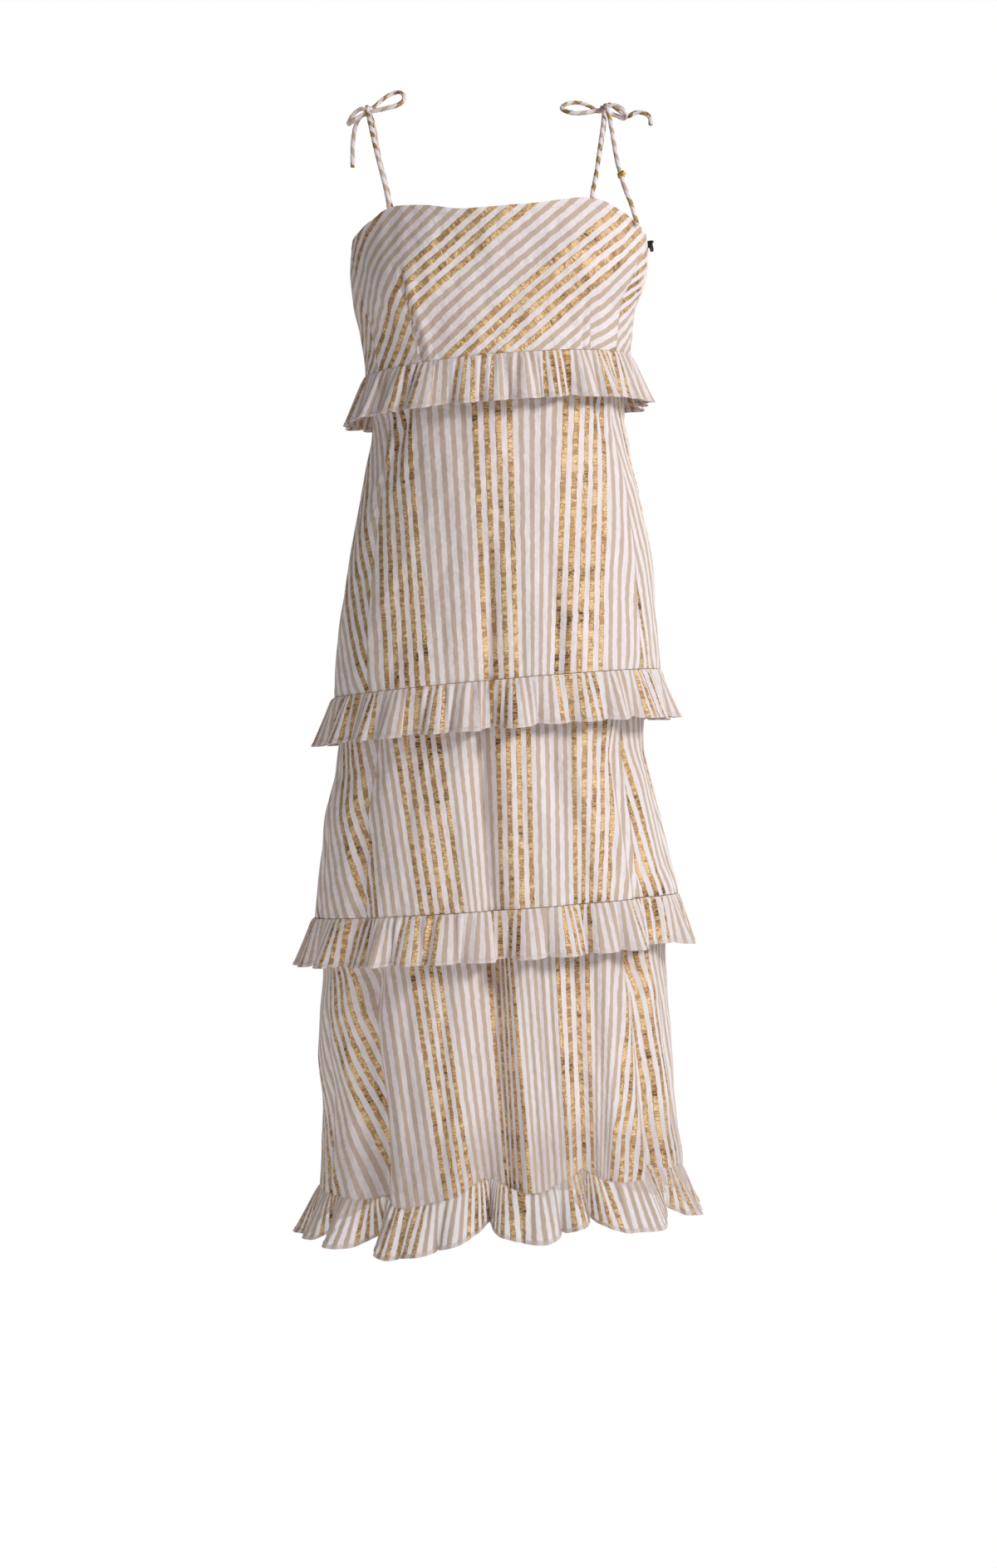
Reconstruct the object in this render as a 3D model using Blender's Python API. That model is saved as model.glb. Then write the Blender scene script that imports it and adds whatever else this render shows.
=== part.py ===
"""Tie-strap ruffle midi dress, hollow as it is worn, in metres with +Z up.

The front faces -Y and the viewer's right is +X. The origin lies between the tops of the two
shoulder ties. Every cloth piece is a thin wall on one shared surface, which is worked out from
cross sections, folds and bust forms, so that neighbours meet along the same seams.
"""
import bisect
import math
from collections import namedtuple

import bmesh
import bpy
from mathutils import Matrix, Vector

# Cloth and seams
CLOTH = 0.0012
SEAM_GAP = 0.0003
LAYER = CLOTH + SEAM_GAP

# Tiers, by how far each seam lies below the shoulders
BUST_SEAM = 0.2545
HIP_SEAM = 0.574
KNEE_SEAM = 0.797
HEM_SEAM = 1.066
RUFFLE_DEPTH = 0.050
TIER_ROWS = 5
BODICE_ROWS = 7
RUFFLE_ROWS = 2
FRONT_COLUMNS = 17
BACK_COLUMNS = 38
SLOPE_STEP_ROUND = 1e-3
SLOPE_STEP_DOWN = 1e-4

# Rouleau ties and their knots
TIE_RADIUS = 0.00225
TIE_STEP = 0.0085
KNOT_RADIUS = 0.0052
KNOT_LEFT = Vector((-0.1317, -0.004, 0.0035))
KNOT_RIGHT = Vector((0.1067, -0.004, 0.0045))

# Gold charm on a tie end
CHARM_RING_RADIUS = 0.0036
CHARM_RING_HEIGHT = 0.0046
CHARM_BALL_RADIUS = 0.0028
CHARM_PLACE = 0.64

# Concealed zip: the slider's azimuth and drop, and the teardrop pull tab
ZIP_AZIMUTH = 86.0
ZIP_DROP = 0.1375
ZIP_TURN = 38.0
SLIDER_SIZE = Vector((0.0042, 0.0024, 0.0070))
CHEEK_THICKNESS = 0.0008
PIN_RADIUS = 0.0005
TAB_THICKNESS = 0.0012
TAB_NECK = 0.0018
TAB_WIDTH = 0.0052
TAB_LENGTH = 0.0118
TAB_EYE_RADIUS = 0.0008
TAB_BARREL_RADIUS = 0.0015

# A horizontal section of the dress: half its width, its depth in front and behind, how far its
# centre lies to the viewer's right, and how much the seam rises for each metre to the right
Section = namedtuple("Section", "drop half_width front back shift tilt")
SECTIONS = (
    Section(0.060, 0.1420, 0.092, 0.098, 0.0000, 0.035),
    Section(0.100, 0.1460, 0.099, 0.104, 0.0000, 0.035),
    Section(0.130, 0.1478, 0.104, 0.108, 0.0005, 0.040),
    Section(0.155, 0.1495, 0.107, 0.110, 0.0010, 0.055),
    Section(0.183, 0.1462, 0.106, 0.109, 0.0000, 0.065),
    Section(0.210, 0.1385, 0.103, 0.106, -0.0010, 0.075),
    Section(0.235, 0.1350, 0.101, 0.103, -0.0005, 0.082),
    Section(BUST_SEAM, 0.1335, 0.101, 0.103, -0.0010, 0.085),
    Section(0.305, 0.1270, 0.098, 0.099, 0.0000, 0.086),
    Section(0.345, 0.1320, 0.101, 0.105, 0.0000, 0.087),
    Section(0.400, 0.1440, 0.108, 0.115, 0.0000, 0.088),
    Section(0.455, 0.1535, 0.116, 0.125, 0.0000, 0.089),
    Section(0.510, 0.1600, 0.123, 0.132, -0.0020, 0.090),
    Section(HIP_SEAM, 0.1640, 0.130, 0.137, -0.0020, 0.090),
    Section(0.620, 0.1535, 0.127, 0.130, -0.0060, 0.087),
    Section(0.648, 0.1550, 0.129, 0.132, -0.0080, 0.085),
    Section(0.689, 0.1650, 0.134, 0.137, -0.0090, 0.080),
    Section(0.727, 0.1712, 0.139, 0.142, -0.0070, 0.076),
    Section(0.765, 0.1775, 0.144, 0.147, -0.0050, 0.072),
    Section(KNEE_SEAM, 0.1825, 0.148, 0.151, -0.0025, 0.070),
    Section(0.845, 0.1725, 0.146, 0.148, -0.0040, 0.071),
    Section(0.890, 0.1755, 0.150, 0.152, -0.0050, 0.072),
    Section(0.930, 0.1768, 0.153, 0.155, -0.0040, 0.073),
    Section(0.980, 0.1770, 0.157, 0.158, 0.0000, 0.075),
    Section(1.020, 0.1790, 0.161, 0.162, 0.0010, 0.077),
    Section(HEM_SEAM, 0.1830, 0.166, 0.167, 0.0020, 0.078),
)

# A fold runs down the cloth from one drop to another, growing from its upper to its lower depth.
# Depth is inwards. Its foot is where the cloth is lifted by the lift share of its depth.
Fold = namedtuple("Fold", "top low azimuth_top azimuth_low half_width depth_top depth_low lift")
FOLDS = (
    Fold(0.300, 0.420, -45.0, -58.0, 8.0, 0.0040, 0.0010, 0.0),
    Fold(0.400, 0.700, -5.0, -2.0, 9.0, 0.0005, 0.0070, 0.0),
    Fold(0.400, 0.690, 17.0, 25.0, 9.0, 0.0005, 0.0060, 0.0),
    Fold(0.600, 0.860, -49.0, -45.0, 10.0, 0.0040, 0.0100, 0.0),
    Fold(0.660, 0.860, -2.0, 0.0, 10.0, 0.0050, 0.0100, 0.0),
    Fold(0.660, 0.860, 25.0, 27.0, 9.0, 0.0030, 0.0070, 0.0),
    Fold(0.600, 0.860, 57.0, 54.0, 9.0, 0.0030, 0.0090, 0.0),
    Fold(0.860, 1.180, -45.0, -42.0, 13.0, 0.0080, 0.0270, 0.42),
    Fold(0.860, 1.180, 0.0, -6.0, 12.0, 0.0090, 0.0330, 0.45),
    Fold(0.860, 1.180, 28.0, 31.0, 9.0, 0.0060, 0.0230, 0.55),
    Fold(0.860, 1.180, 54.0, 61.0, 9.0, 0.0080, 0.0180, 0.50),
    Fold(0.420, 0.700, 128.0, 130.0, 12.0, 0.0010, 0.0080, 0.0),
    Fold(0.420, 0.700, 172.0, 170.0, 12.0, 0.0010, 0.0090, 0.0),
    Fold(0.420, 0.700, 216.0, 219.0, 12.0, 0.0010, 0.0080, 0.0),
    Fold(0.660, 1.180, 116.0, 112.0, 12.0, 0.0030, 0.0260, 0.40),
    Fold(0.660, 1.180, 145.0, 148.0, 13.0, 0.0040, 0.0290, 0.45),
    Fold(0.660, 1.180, 186.0, 183.0, 13.0, 0.0050, 0.0310, 0.45),
    Fold(0.660, 1.180, 224.0, 219.0, 12.0, 0.0040, 0.0270, 0.42),
    Fold(0.660, 1.180, 252.0, 254.0, 12.0, 0.0030, 0.0240, 0.40),
)
FOLD_FADE = 0.040

# Rounded fullness that the darts give the bodice, on both sides of the centre front
Form = namedtuple("Form", "azimuth drop half_width half_drop out")
FORMS = (
    Form(-37.0, 0.178, 36.0, 0.075, 0.013),
    Form(37.0, 0.176, 36.0, 0.075, 0.013),
)

# Top edge of the bodice, from the centre back round by the viewer's left to the centre back
Edge = namedtuple("Edge", "azimuth drop")
TOP_EDGE = (
    Edge(-180.0, 0.1500),
    Edge(-120.0, 0.1490),
    Edge(-105.0, 0.1460),
    Edge(-97.0, 0.1380),
    Edge(-86.0, 0.1240),
    Edge(-72.0, 0.1190),
    Edge(-59.0, 0.1100),
    Edge(-51.0, 0.1035),
    Edge(-45.0, 0.1010),
    Edge(-30.0, 0.1040),
    Edge(-13.0, 0.1110),
    Edge(11.0, 0.1085),
    Edge(37.0, 0.1008),
    Edge(43.0, 0.1018),
    Edge(50.0, 0.1068),
    Edge(62.0, 0.1160),
    Edge(72.0, 0.1215),
    Edge(88.0, 0.1320),
    Edge(98.0, 0.1410),
    Edge(107.0, 0.1475),
    Edge(125.0, 0.1495),
    Edge(180.0, 0.1500),
)

# Side seams, by the azimuth of the seam on the viewer's left and right
SideSeam = namedtuple("SideSeam", "drop left right")
SIDE_SEAMS = (
    SideSeam(0.100, -88.0, 90.0),
    SideSeam(0.125, -86.0, 86.0),
    SideSeam(0.165, -70.0, 67.0),
    SideSeam(0.200, -66.0, 62.0),
    SideSeam(BUST_SEAM, -62.0, 62.0),
    SideSeam(0.400, -56.0, 62.0),
    SideSeam(HIP_SEAM, -50.0, 60.0),
    SideSeam(0.650, -48.0, 58.0),
    SideSeam(KNEE_SEAM, -46.0, 54.0),
    SideSeam(0.850, -45.0, 54.0),
    SideSeam(HEM_SEAM, -41.0, 51.0),
    SideSeam(1.150, -40.0, 50.0),
)

# A gathered strip: its seam, how far below it and outside the cloth it starts, how far its edge
# stands out, its gathers all round and their height
Ruffle = namedtuple("Ruffle", "name seam below base throw gathers height phase")
RUFFLES = (
    Ruffle("bust", BUST_SEAM, SEAM_GAP, LAYER, 0.0150, 21, 0.0060, 0.6),
    Ruffle("hip", HIP_SEAM, SEAM_GAP, LAYER, 0.0140, 21, 0.0055, 2.1),
    Ruffle("knee", KNEE_SEAM, SEAM_GAP, LAYER, 0.0135, 22, 0.0055, 3.7),
    Ruffle("hem", HEM_SEAM, 0.0007, 0.0, 0.0170, 22, 0.0065, 5.2),
)

Tier = namedtuple("Tier", "name top low")
TIERS = (
    Tier("skirt_upper", BUST_SEAM, HIP_SEAM),
    Tier("skirt_middle", HIP_SEAM, KNEE_SEAM),
    Tier("skirt_lower", KNEE_SEAM, HEM_SEAM),
)

# Where each shoulder tie is sewn to the bodice's top edge
TIE_ROOTS = {
    "strap_front_left": -48.0,
    "strap_back_left": -136.0,
    "strap_front_right": 39.5,
    "strap_back_right": 142.5,
}
ROOT_RAISE = 0.00055
ROOT_LEAD = 0.0070

# Routes of the ties, from just outside the knot outwards. A strap goes on to its root.
TIE_ROUTES = {
    "strap_front_left": (
        (-0.1306, -0.0160, -0.0030),
        (-0.1275, -0.0320, -0.0190),
        (-0.1205, -0.0520, -0.0500),
        (-0.1130, -0.0635, -0.0800),
    ),
    "strap_back_left": (
        (-0.1300, 0.0150, 0.0000),
        (-0.1275, 0.0290, -0.0090),
        (-0.1210, 0.0540, -0.0390),
        (-0.1120, 0.0725, -0.0850),
    ),
    "strap_front_right": (
        (0.1060, -0.0150, -0.0045),
        (0.1045, -0.0315, -0.0170),
        (0.1005, -0.0540, -0.0450),
        (0.0962, -0.0690, -0.0760),
    ),
    "strap_back_right": (
        (0.1078, 0.0150, 0.0000),
        (0.1070, 0.0290, -0.0090),
        (0.1020, 0.0540, -0.0390),
        (0.0943, 0.0760, -0.0850),
    ),
    "tail_left_inner": (
        (-0.1330, 0.0075, 0.0110),
        (-0.1310, 0.0190, 0.0080),
        (-0.1270, 0.0335, -0.0050),
        (-0.1230, 0.0540, -0.0290),
        (-0.1165, 0.0690, -0.0540),
        (-0.1110, 0.0775, -0.0780),
        (-0.1060, 0.0820, -0.0960),
    ),
    "tail_left_outer": (
        (-0.1400, 0.0010, -0.0005),
        (-0.1445, 0.0080, -0.0070),
        (-0.1475, 0.0150, -0.0190),
        (-0.1485, 0.0200, -0.0340),
        (-0.1485, 0.0230, -0.0470),
    ),
    "tail_right_side": (
        (0.1120, 0.0030, 0.0125),
        (0.1180, 0.0080, 0.0110),
        (0.1250, 0.0100, 0.0060),
        (0.1310, 0.0100, 0.0022),
        (0.1370, 0.0095, 0.0050),
        (0.1430, 0.0085, 0.0060),
        (0.1505, 0.0065, 0.0034),
        (0.1537, 0.0045, -0.0018),
        (0.1540, 0.0030, -0.0080),
    ),
    "tail_right_front": (
        (0.1076, -0.0148, 0.0076),
        (0.1096, -0.0218, 0.0024),
        (0.1115, -0.0255, -0.0080),
        (0.1137, -0.0320, -0.0230),
        (0.1163, -0.0415, -0.0430),
        (0.1183, -0.0480, -0.0565),
        (0.1218, -0.0520, -0.0705),
        (0.1255, -0.0530, -0.0830),
        (0.1320, -0.0510, -0.0990),
        (0.1361, -0.0462, -0.1110),
        (0.1389, -0.0421, -0.1180),
    ),
}

# Routes of the bow loops, out of the knot and back into it
LOOP_ROUTES = {
    "bow_left": (
        (
            (-0.1300, -0.0020, 0.0050),
            (-0.1240, -0.0005, 0.0108),
            (-0.1159, 0.0030, 0.0188),
            (-0.1075, 0.0050, 0.0240),
            (-0.1005, 0.0030, 0.0250),
            (-0.0956, -0.0015, 0.0205),
            (-0.0962, -0.0060, 0.0140),
            (-0.1030, -0.0085, 0.0090),
            (-0.1130, -0.0085, 0.0062),
            (-0.1225, -0.0070, 0.0045),
            (-0.1300, -0.0050, 0.0035),
        ),
        (
            (-0.1330, -0.0045, 0.0045),
            (-0.1385, -0.0045, 0.0065),
            (-0.1450, -0.0020, 0.0030),
            (-0.1505, 0.0005, -0.0040),
            (-0.1515, -0.0030, -0.0085),
            (-0.1465, -0.0070, -0.0060),
            (-0.1395, -0.0080, -0.0020),
            (-0.1335, -0.0060, 0.0015),
        ),
    ),
    "bow_right": (
        (
            (0.1050, -0.0010, 0.0060),
            (0.0985, 0.0030, 0.0070),
            (0.0930, 0.0055, 0.0110),
            (0.0860, 0.0060, 0.0140),
            (0.0770, 0.0050, 0.0150),
            (0.0680, 0.0020, 0.0125),
            (0.0640, -0.0030, 0.0075),
            (0.0690, -0.0075, 0.0030),
            (0.0780, -0.0095, 0.0010),
            (0.0880, -0.0090, 0.0016),
            (0.0970, -0.0070, 0.0035),
            (0.1050, -0.0045, 0.0040),
        ),
        (
            (0.1085, -0.0045, 0.0065),
            (0.1140, -0.0065, 0.0095),
            (0.1200, -0.0065, 0.0090),
            (0.1262, -0.0045, 0.0050),
            (0.1288, -0.0005, 0.0005),
            (0.1262, 0.0030, -0.0015),
            (0.1200, 0.0030, 0.0010),
            (0.1140, 0.0005, 0.0025),
            (0.1085, -0.0020, 0.0035),
        ),
    ),
}

# Finishes: colour, roughness and metallic value
Finish = namedtuple("Finish", "name colour roughness metallic")
STRIPED_CLOTH = Finish("striped_cloth", (0.72, 0.62, 0.55, 1.0), 0.78, 0.0)
TIE_CLOTH = Finish("tie_cloth", (0.60, 0.50, 0.42, 1.0), 0.75, 0.0)
GOLD_METAL = Finish("gold_metal", (0.83, 0.58, 0.20, 1.0), 0.25, 1.0)
DARK_ENAMEL = Finish("dark_enamel", (0.035, 0.012, 0.016, 1.0), 0.35, 0.0)


def hermite(start, end, start_slope, end_slope, share, span):
    """Cubic from one value to another over a span, with given slopes at its ends."""
    square = share * share
    cube = square * share
    return (
        (2.0 * cube - 3.0 * square + 1.0) * start
        + (cube - 2.0 * square + share) * span * start_slope
        + (3.0 * square - 2.0 * cube) * end
        + (cube - square) * span * end_slope
    )


def read_table(rows, key, value, place):
    """A column of a table at a place along its key column, on a smooth curve with no overshoot."""
    places = [getattr(row, key) for row in rows]
    values = [getattr(row, value) for row in rows]
    if place <= places[0]:
        return values[0]
    if place >= places[-1]:
        return values[-1]
    index = bisect.bisect_right(places, place) - 1

    def slope(at):
        if at <= 0 or at >= len(rows) - 1:
            return 0.0
        before = (values[at] - values[at - 1]) / (places[at] - places[at - 1])
        after = (values[at + 1] - values[at]) / (places[at + 1] - places[at])
        if before * after <= 0.0:
            return 0.0
        return 2.0 * before * after / (before + after)

    span = places[index + 1] - places[index]
    share = (place - places[index]) / span
    return hermite(values[index], values[index + 1], slope(index), slope(index + 1), share, span)


def smooth_step(share):
    """0 to 1 with level ends."""
    share = min(1.0, max(0.0, share))
    return share * share * (3.0 - 2.0 * share)


def turn_between(azimuth, centre):
    """Signed turn from a centre to an azimuth, in degrees between -180 and 180."""
    return (azimuth - centre + 180.0) % 360.0 - 180.0


def bell(distance):
    """Rounded bump: 1 at its middle, 0 from a distance of 1 outwards."""
    if abs(distance) >= 1.0:
        return 0.0
    return (0.5 + 0.5 * math.cos(math.pi * distance)) ** 1.2


def relief(azimuth, drop):
    """How far the cloth lies inside its plain section there, and how far it is lifted."""
    inward = 0.0
    lift = 0.0
    for fold in FOLDS:
        along = (drop - fold.top) / (fold.low - fold.top)
        if drop < fold.top - FOLD_FADE or drop > fold.low + FOLD_FADE:
            continue
        centre = fold.azimuth_top + (fold.azimuth_low - fold.azimuth_top) * min(1.0, max(0.0, along))
        across = bell(turn_between(azimuth, centre) / fold.half_width)
        if across == 0.0:
            continue
        fade = smooth_step((drop - fold.top + FOLD_FADE) / FOLD_FADE)
        fade *= smooth_step((fold.low + FOLD_FADE - drop) / FOLD_FADE)
        depth = fold.depth_top + (fold.depth_low - fold.depth_top) * min(1.0, max(0.0, along))
        inward += depth * across * fade
        lift += fold.lift * depth * across * fade * smooth_step(along)
    for form in FORMS:
        across = bell(turn_between(azimuth, form.azimuth) / form.half_width)
        down = bell((drop - form.drop) / form.half_drop)
        inward -= form.out * across * down
    return inward, lift


def cloth_point(azimuth, drop, out=0.0):
    """A point on the middle of the cloth, moved out across the plain section by a distance."""
    half_width = read_table(SECTIONS, "drop", "half_width", drop)
    front = read_table(SECTIONS, "drop", "front", drop)
    back = read_table(SECTIONS, "drop", "back", drop)
    shift = read_table(SECTIONS, "drop", "shift", drop)
    tilt = read_table(SECTIONS, "drop", "tilt", drop)
    turn = math.radians(azimuth)
    depth = front if math.cos(turn) > 0.0 else back
    across = half_width * math.sin(turn)
    along = -depth * math.cos(turn)
    outward = Vector((math.sin(turn) / half_width, -math.cos(turn) / depth, 0.0)).normalized()
    inward, lift = relief(azimuth, drop)
    point = Vector((across, along, 0.0)) + outward * (out - inward)
    point.x += shift
    point.z = -drop + tilt * across + lift
    return point


def gather_wave(ruffle, azimuth):
    """The gathers at an azimuth, from -1 inwards to 1 outwards. They crowd in some places."""
    turn = math.radians(azimuth)
    wander = 0.8 * math.sin(2.0 * turn + ruffle.phase) + 0.5 * math.sin(5.0 * turn + 2.0 * ruffle.phase)
    return math.sin(ruffle.gathers * turn + wander + ruffle.phase)


def seam_base(side, drop, share_round, out):
    """A point on the straight facets that a tier's wall has along a seam."""
    count = (FRONT_COLUMNS, BACK_COLUMNS)[side]
    place = min(count - 1e-6, max(0.0, share_round * count))
    before = math.floor(place)
    start = cloth_point(between_seams(side, drop, before / count), drop, out)
    end = cloth_point(between_seams(side, drop, (before + 1) / count), drop, out)
    return start.lerp(end, place - before)


def smooth_base(side, drop, share_round, out):
    """A point on the curved cloth along a seam."""
    return cloth_point(between_seams(side, drop, share_round), drop, out)


def ruffle_point(ruffle, side, share_round, share, base_at):
    """A point on the middle of a ruffle, share 0 at its seam and 1 at its edge."""
    azimuth = between_seams(side, ruffle.seam, share_round)
    turn = math.radians(azimuth)
    wave = gather_wave(ruffle, azimuth)
    size = 0.8 + 0.2 * math.sin(3.0 * turn + 3.0 * ruffle.phase)
    stand = ruffle.throw * share ** 0.85 + ruffle.height * size * wave * share
    point = base_at(side, ruffle.seam + ruffle.below, share_round, ruffle.base)
    point += Vector((math.sin(turn), -math.cos(turn), 0.0)) * stand
    point.z -= RUFFLE_DEPTH * share * (1.0 - 0.05 * share - 0.03 * wave * share)
    return point


def wall_object(name, point_at, smooth_at, columns, rows, finish):
    """A cloth wall through a grid of points, closed along its edges, with an even thickness.

    point_at gives the middle of the wall and smooth_at the surface whose slope it has there.
    Both take a share of the way round and a share from the upper to the lower edge.
    """
    mesh = bpy.data.meshes.new(name)
    grid = bmesh.new()
    outer = []
    inner = []
    anchor = point_at(0.5 * (columns[0] + columns[-1]), 0.0)
    for column in columns:
        outer_line = []
        inner_line = []
        for row in range(rows + 1):
            share = row / rows
            point = point_at(column, share)
            before = smooth_at(column - SLOPE_STEP_ROUND, share)
            after = smooth_at(column + SLOPE_STEP_ROUND, share)
            above = smooth_at(column, max(0.0, share - SLOPE_STEP_DOWN))
            below = smooth_at(column, min(1.0, share + SLOPE_STEP_DOWN))
            normal = (after - before).cross(above - below).normalized()
            outer_line.append(grid.verts.new(point + normal * 0.5 * CLOTH - anchor))
            inner_line.append(grid.verts.new(point - normal * 0.5 * CLOTH - anchor))
        outer.append(outer_line)
        inner.append(inner_line)
    for left in range(len(columns) - 1):
        for row in range(rows):
            grid.faces.new((outer[left][row], outer[left][row + 1],
                            outer[left + 1][row + 1], outer[left + 1][row]))
            grid.faces.new((inner[left][row], inner[left + 1][row],
                            inner[left + 1][row + 1], inner[left][row + 1]))
        grid.faces.new((outer[left][0], outer[left + 1][0], inner[left + 1][0], inner[left][0]))
        grid.faces.new((outer[left][rows], inner[left][rows], inner[left + 1][rows], outer[left + 1][rows]))
    for row in range(rows):
        grid.faces.new((outer[0][row], inner[0][row], inner[0][row + 1], outer[0][row + 1]))
        grid.faces.new((outer[-1][row], outer[-1][row + 1], inner[-1][row + 1], inner[-1][row]))
    bmesh.ops.recalc_face_normals(grid, faces=grid.faces[:])
    grid.to_mesh(mesh)
    grid.free()
    mesh.shade_smooth()
    mesh.set_sharp_from_angle(angle=math.radians(60.0))
    piece = add_object(name, mesh, finish)
    piece.location = anchor
    return piece


def material_for(finish):
    """The Principled material of a finish, made once."""
    material = bpy.data.materials.get(finish.name)
    if material is None:
        material = bpy.data.materials.new(finish.name)
        material.use_nodes = True
        shader = material.node_tree.nodes["Principled BSDF"]
        shader.inputs["Base Color"].default_value = finish.colour
        shader.inputs["Roughness"].default_value = finish.roughness
        shader.inputs["Metallic"].default_value = finish.metallic
    return material


def add_object(name, data, finish):
    """Put a mesh or curve in the scene, under the dress's own empty."""
    piece = bpy.data.objects.new(name, data)
    bpy.context.scene.collection.objects.link(piece)
    data.materials.append(material_for(finish))
    piece.parent = bpy.data.objects["dress"]
    return piece


def front_and_back(drop):
    """Azimuths where the front runs, left to right, and where the back runs on round to the left."""
    left = read_table(SIDE_SEAMS, "drop", "left", drop)
    right = read_table(SIDE_SEAMS, "drop", "right", drop)
    return (left, right), (right, left + 360.0)


def between_seams(side, drop, share_round):
    """Azimuth at a share of the way round the front or back, clear of the seams at both ends."""
    start, end = front_and_back(drop)[side]
    half_gap = math.degrees(0.5 * SEAM_GAP / read_table(SECTIONS, "drop", "front", drop))
    return start + half_gap + (end - start - 2.0 * half_gap) * share_round


def even_columns(side, steps):
    """Shares of the way round a front or back, with a number of steps in each of its columns."""
    count = (FRONT_COLUMNS, BACK_COLUMNS)[side] * steps
    return [index / count for index in range(count + 1)]


def tier_piece(name, side, top_at, low_drop, rows):
    """Front or back of one tier, from its top edge to the seam below."""

    def point_at(share_round, share):
        drop = low_drop
        for _ in range(3):
            azimuth = between_seams(side, drop, share_round)
            drop = top_at(azimuth) * (1.0 - share) + low_drop * share
        return cloth_point(between_seams(side, drop, share_round), drop)

    return wall_object(name, point_at, point_at, even_columns(side, 1), rows, STRIPED_CLOTH)


def top_edge(azimuth):
    """Drop of the bodice's top edge."""
    return read_table(TOP_EDGE, "azimuth", "drop", (azimuth + 180.0) % 360.0 - 180.0)


def ruffle_piece(name, ruffle, side):
    """Front or back of one gathered strip."""

    def point_at(share_round, share):
        return ruffle_point(ruffle, side, share_round, share, seam_base)

    def smooth_at(share_round, share):
        return ruffle_point(ruffle, side, share_round, share, smooth_base)

    return wall_object(name, point_at, smooth_at, even_columns(side, 2), RUFFLE_ROWS, STRIPED_CLOTH)


def smooth_route(points, spacing):
    """Points at an even spacing on a smooth curve through a route's own points."""
    route = [Vector(point) for point in points]
    ghosts = [2.0 * route[0] - route[1]] + route + [2.0 * route[-1] - route[-2]]
    fine = []
    for index in range(1, len(ghosts) - 2):
        before, start, end, after = ghosts[index - 1:index + 3]
        for step in range(20):
            share = step / 20.0
            fine.append(0.5 * (
                2.0 * start + (end - before) * share
                + (2.0 * before - 5.0 * start + 4.0 * end - after) * share ** 2
                + (3.0 * start - before - 3.0 * end + after) * share ** 3
            ))
    fine.append(route[-1])
    lengths = [0.0]
    for previous, point in zip(fine, fine[1:]):
        lengths.append(lengths[-1] + (point - previous).length)
    count = max(2, round(lengths[-1] / spacing))
    result = []
    for step in range(count + 1):
        goal = lengths[-1] * step / count
        index = min(len(fine) - 2, max(0, bisect.bisect_right(lengths, goal) - 1))
        part = (goal - lengths[index]) / (lengths[index + 1] - lengths[index])
        result.append(fine[index].lerp(fine[index + 1], part))
    return result


def tube_curve(name, points, radius):
    """A curve with a round bevel and filled caps through the given points."""
    curve = bpy.data.curves.new(name, "CURVE")
    curve.dimensions = "3D"
    spline = curve.splines.new("POLY")
    spline.points.add(len(points) - 1)
    for target, point in zip(spline.points, points):
        target.co = (point.x, point.y, point.z, 1.0)
    curve.bevel_depth = radius
    curve.bevel_resolution = 2
    curve.use_fill_caps = True
    return curve


def tie_piece(name, route, knot):
    """A tie from just outside its knot to its free end, or to its root on the bodice."""
    toward = (Vector(route[0]) - knot).normalized()
    start = knot + toward * (KNOT_RADIUS + SEAM_GAP)
    stops = [start] + [Vector(stop) for stop in route]
    if name in TIE_ROOTS:
        azimuth = TIE_ROOTS[name]
        root = cloth_point(azimuth, top_edge(azimuth)) + Vector((0.0, 0.0, ROOT_RAISE))
        stops += [root + Vector((0.0, 0.0, ROOT_LEAD)), root]
    points = smooth_route(stops, TIE_STEP)
    local = [point - start for point in points]
    piece = add_object(name, tube_curve(name, local, TIE_RADIUS), TIE_CLOTH)
    piece.location = start
    return points


def hide_guide(guide):
    """Keep a shape that only helps to make another out of the model."""
    guide.hide_render = True
    guide.display_type = "WIRE"


def add_boolean(piece, other, operation):
    """Join another shape to a piece, or cut it out."""
    change = piece.modifiers.new(other.name, "BOOLEAN")
    change.operation = operation
    change.object = other
    change.solver = "EXACT"


def bow_piece(name, knot):
    """A knot with its two loops, as one solid."""
    mesh = bpy.data.meshes.new(name)
    ball = bmesh.new()
    bmesh.ops.create_icosphere(ball, subdivisions=2, radius=KNOT_RADIUS)
    ball.to_mesh(mesh)
    ball.free()
    mesh.shade_smooth()
    piece = add_object(name, mesh, TIE_CLOTH)
    piece.location = knot
    for index, route in enumerate(LOOP_ROUTES[name]):
        points = [point - knot for point in smooth_route(route, 0.6 * TIE_STEP)]
        loop = add_object(f"{name}_loop_{index}", tube_curve(f"{name}_loop_{index}", points, TIE_RADIUS),
                          TIE_CLOTH)
        loop.location = knot
        hide_guide(loop)
        add_boolean(piece, mesh_copy(loop), "UNION")
    return piece


def mesh_copy(source):
    """A mesh object with the evaluated shape of a curve, kept as a guide."""
    bpy.context.view_layer.update()
    graph = bpy.context.evaluated_depsgraph_get()
    mesh = bpy.data.meshes.new_from_object(source.evaluated_get(graph))
    clean = bmesh.new()
    clean.from_mesh(mesh)
    bmesh.ops.remove_doubles(clean, verts=clean.verts[:], dist=1e-6)
    bmesh.ops.recalc_face_normals(clean, faces=clean.faces[:])
    clean.to_mesh(mesh)
    clean.free()
    guide = bpy.data.objects.new(f"{source.name}_solid", mesh)
    bpy.context.scene.collection.objects.link(guide)
    guide.parent = source.parent
    guide.location = source.location
    hide_guide(guide)
    bpy.data.objects.remove(source)
    return guide


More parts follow.
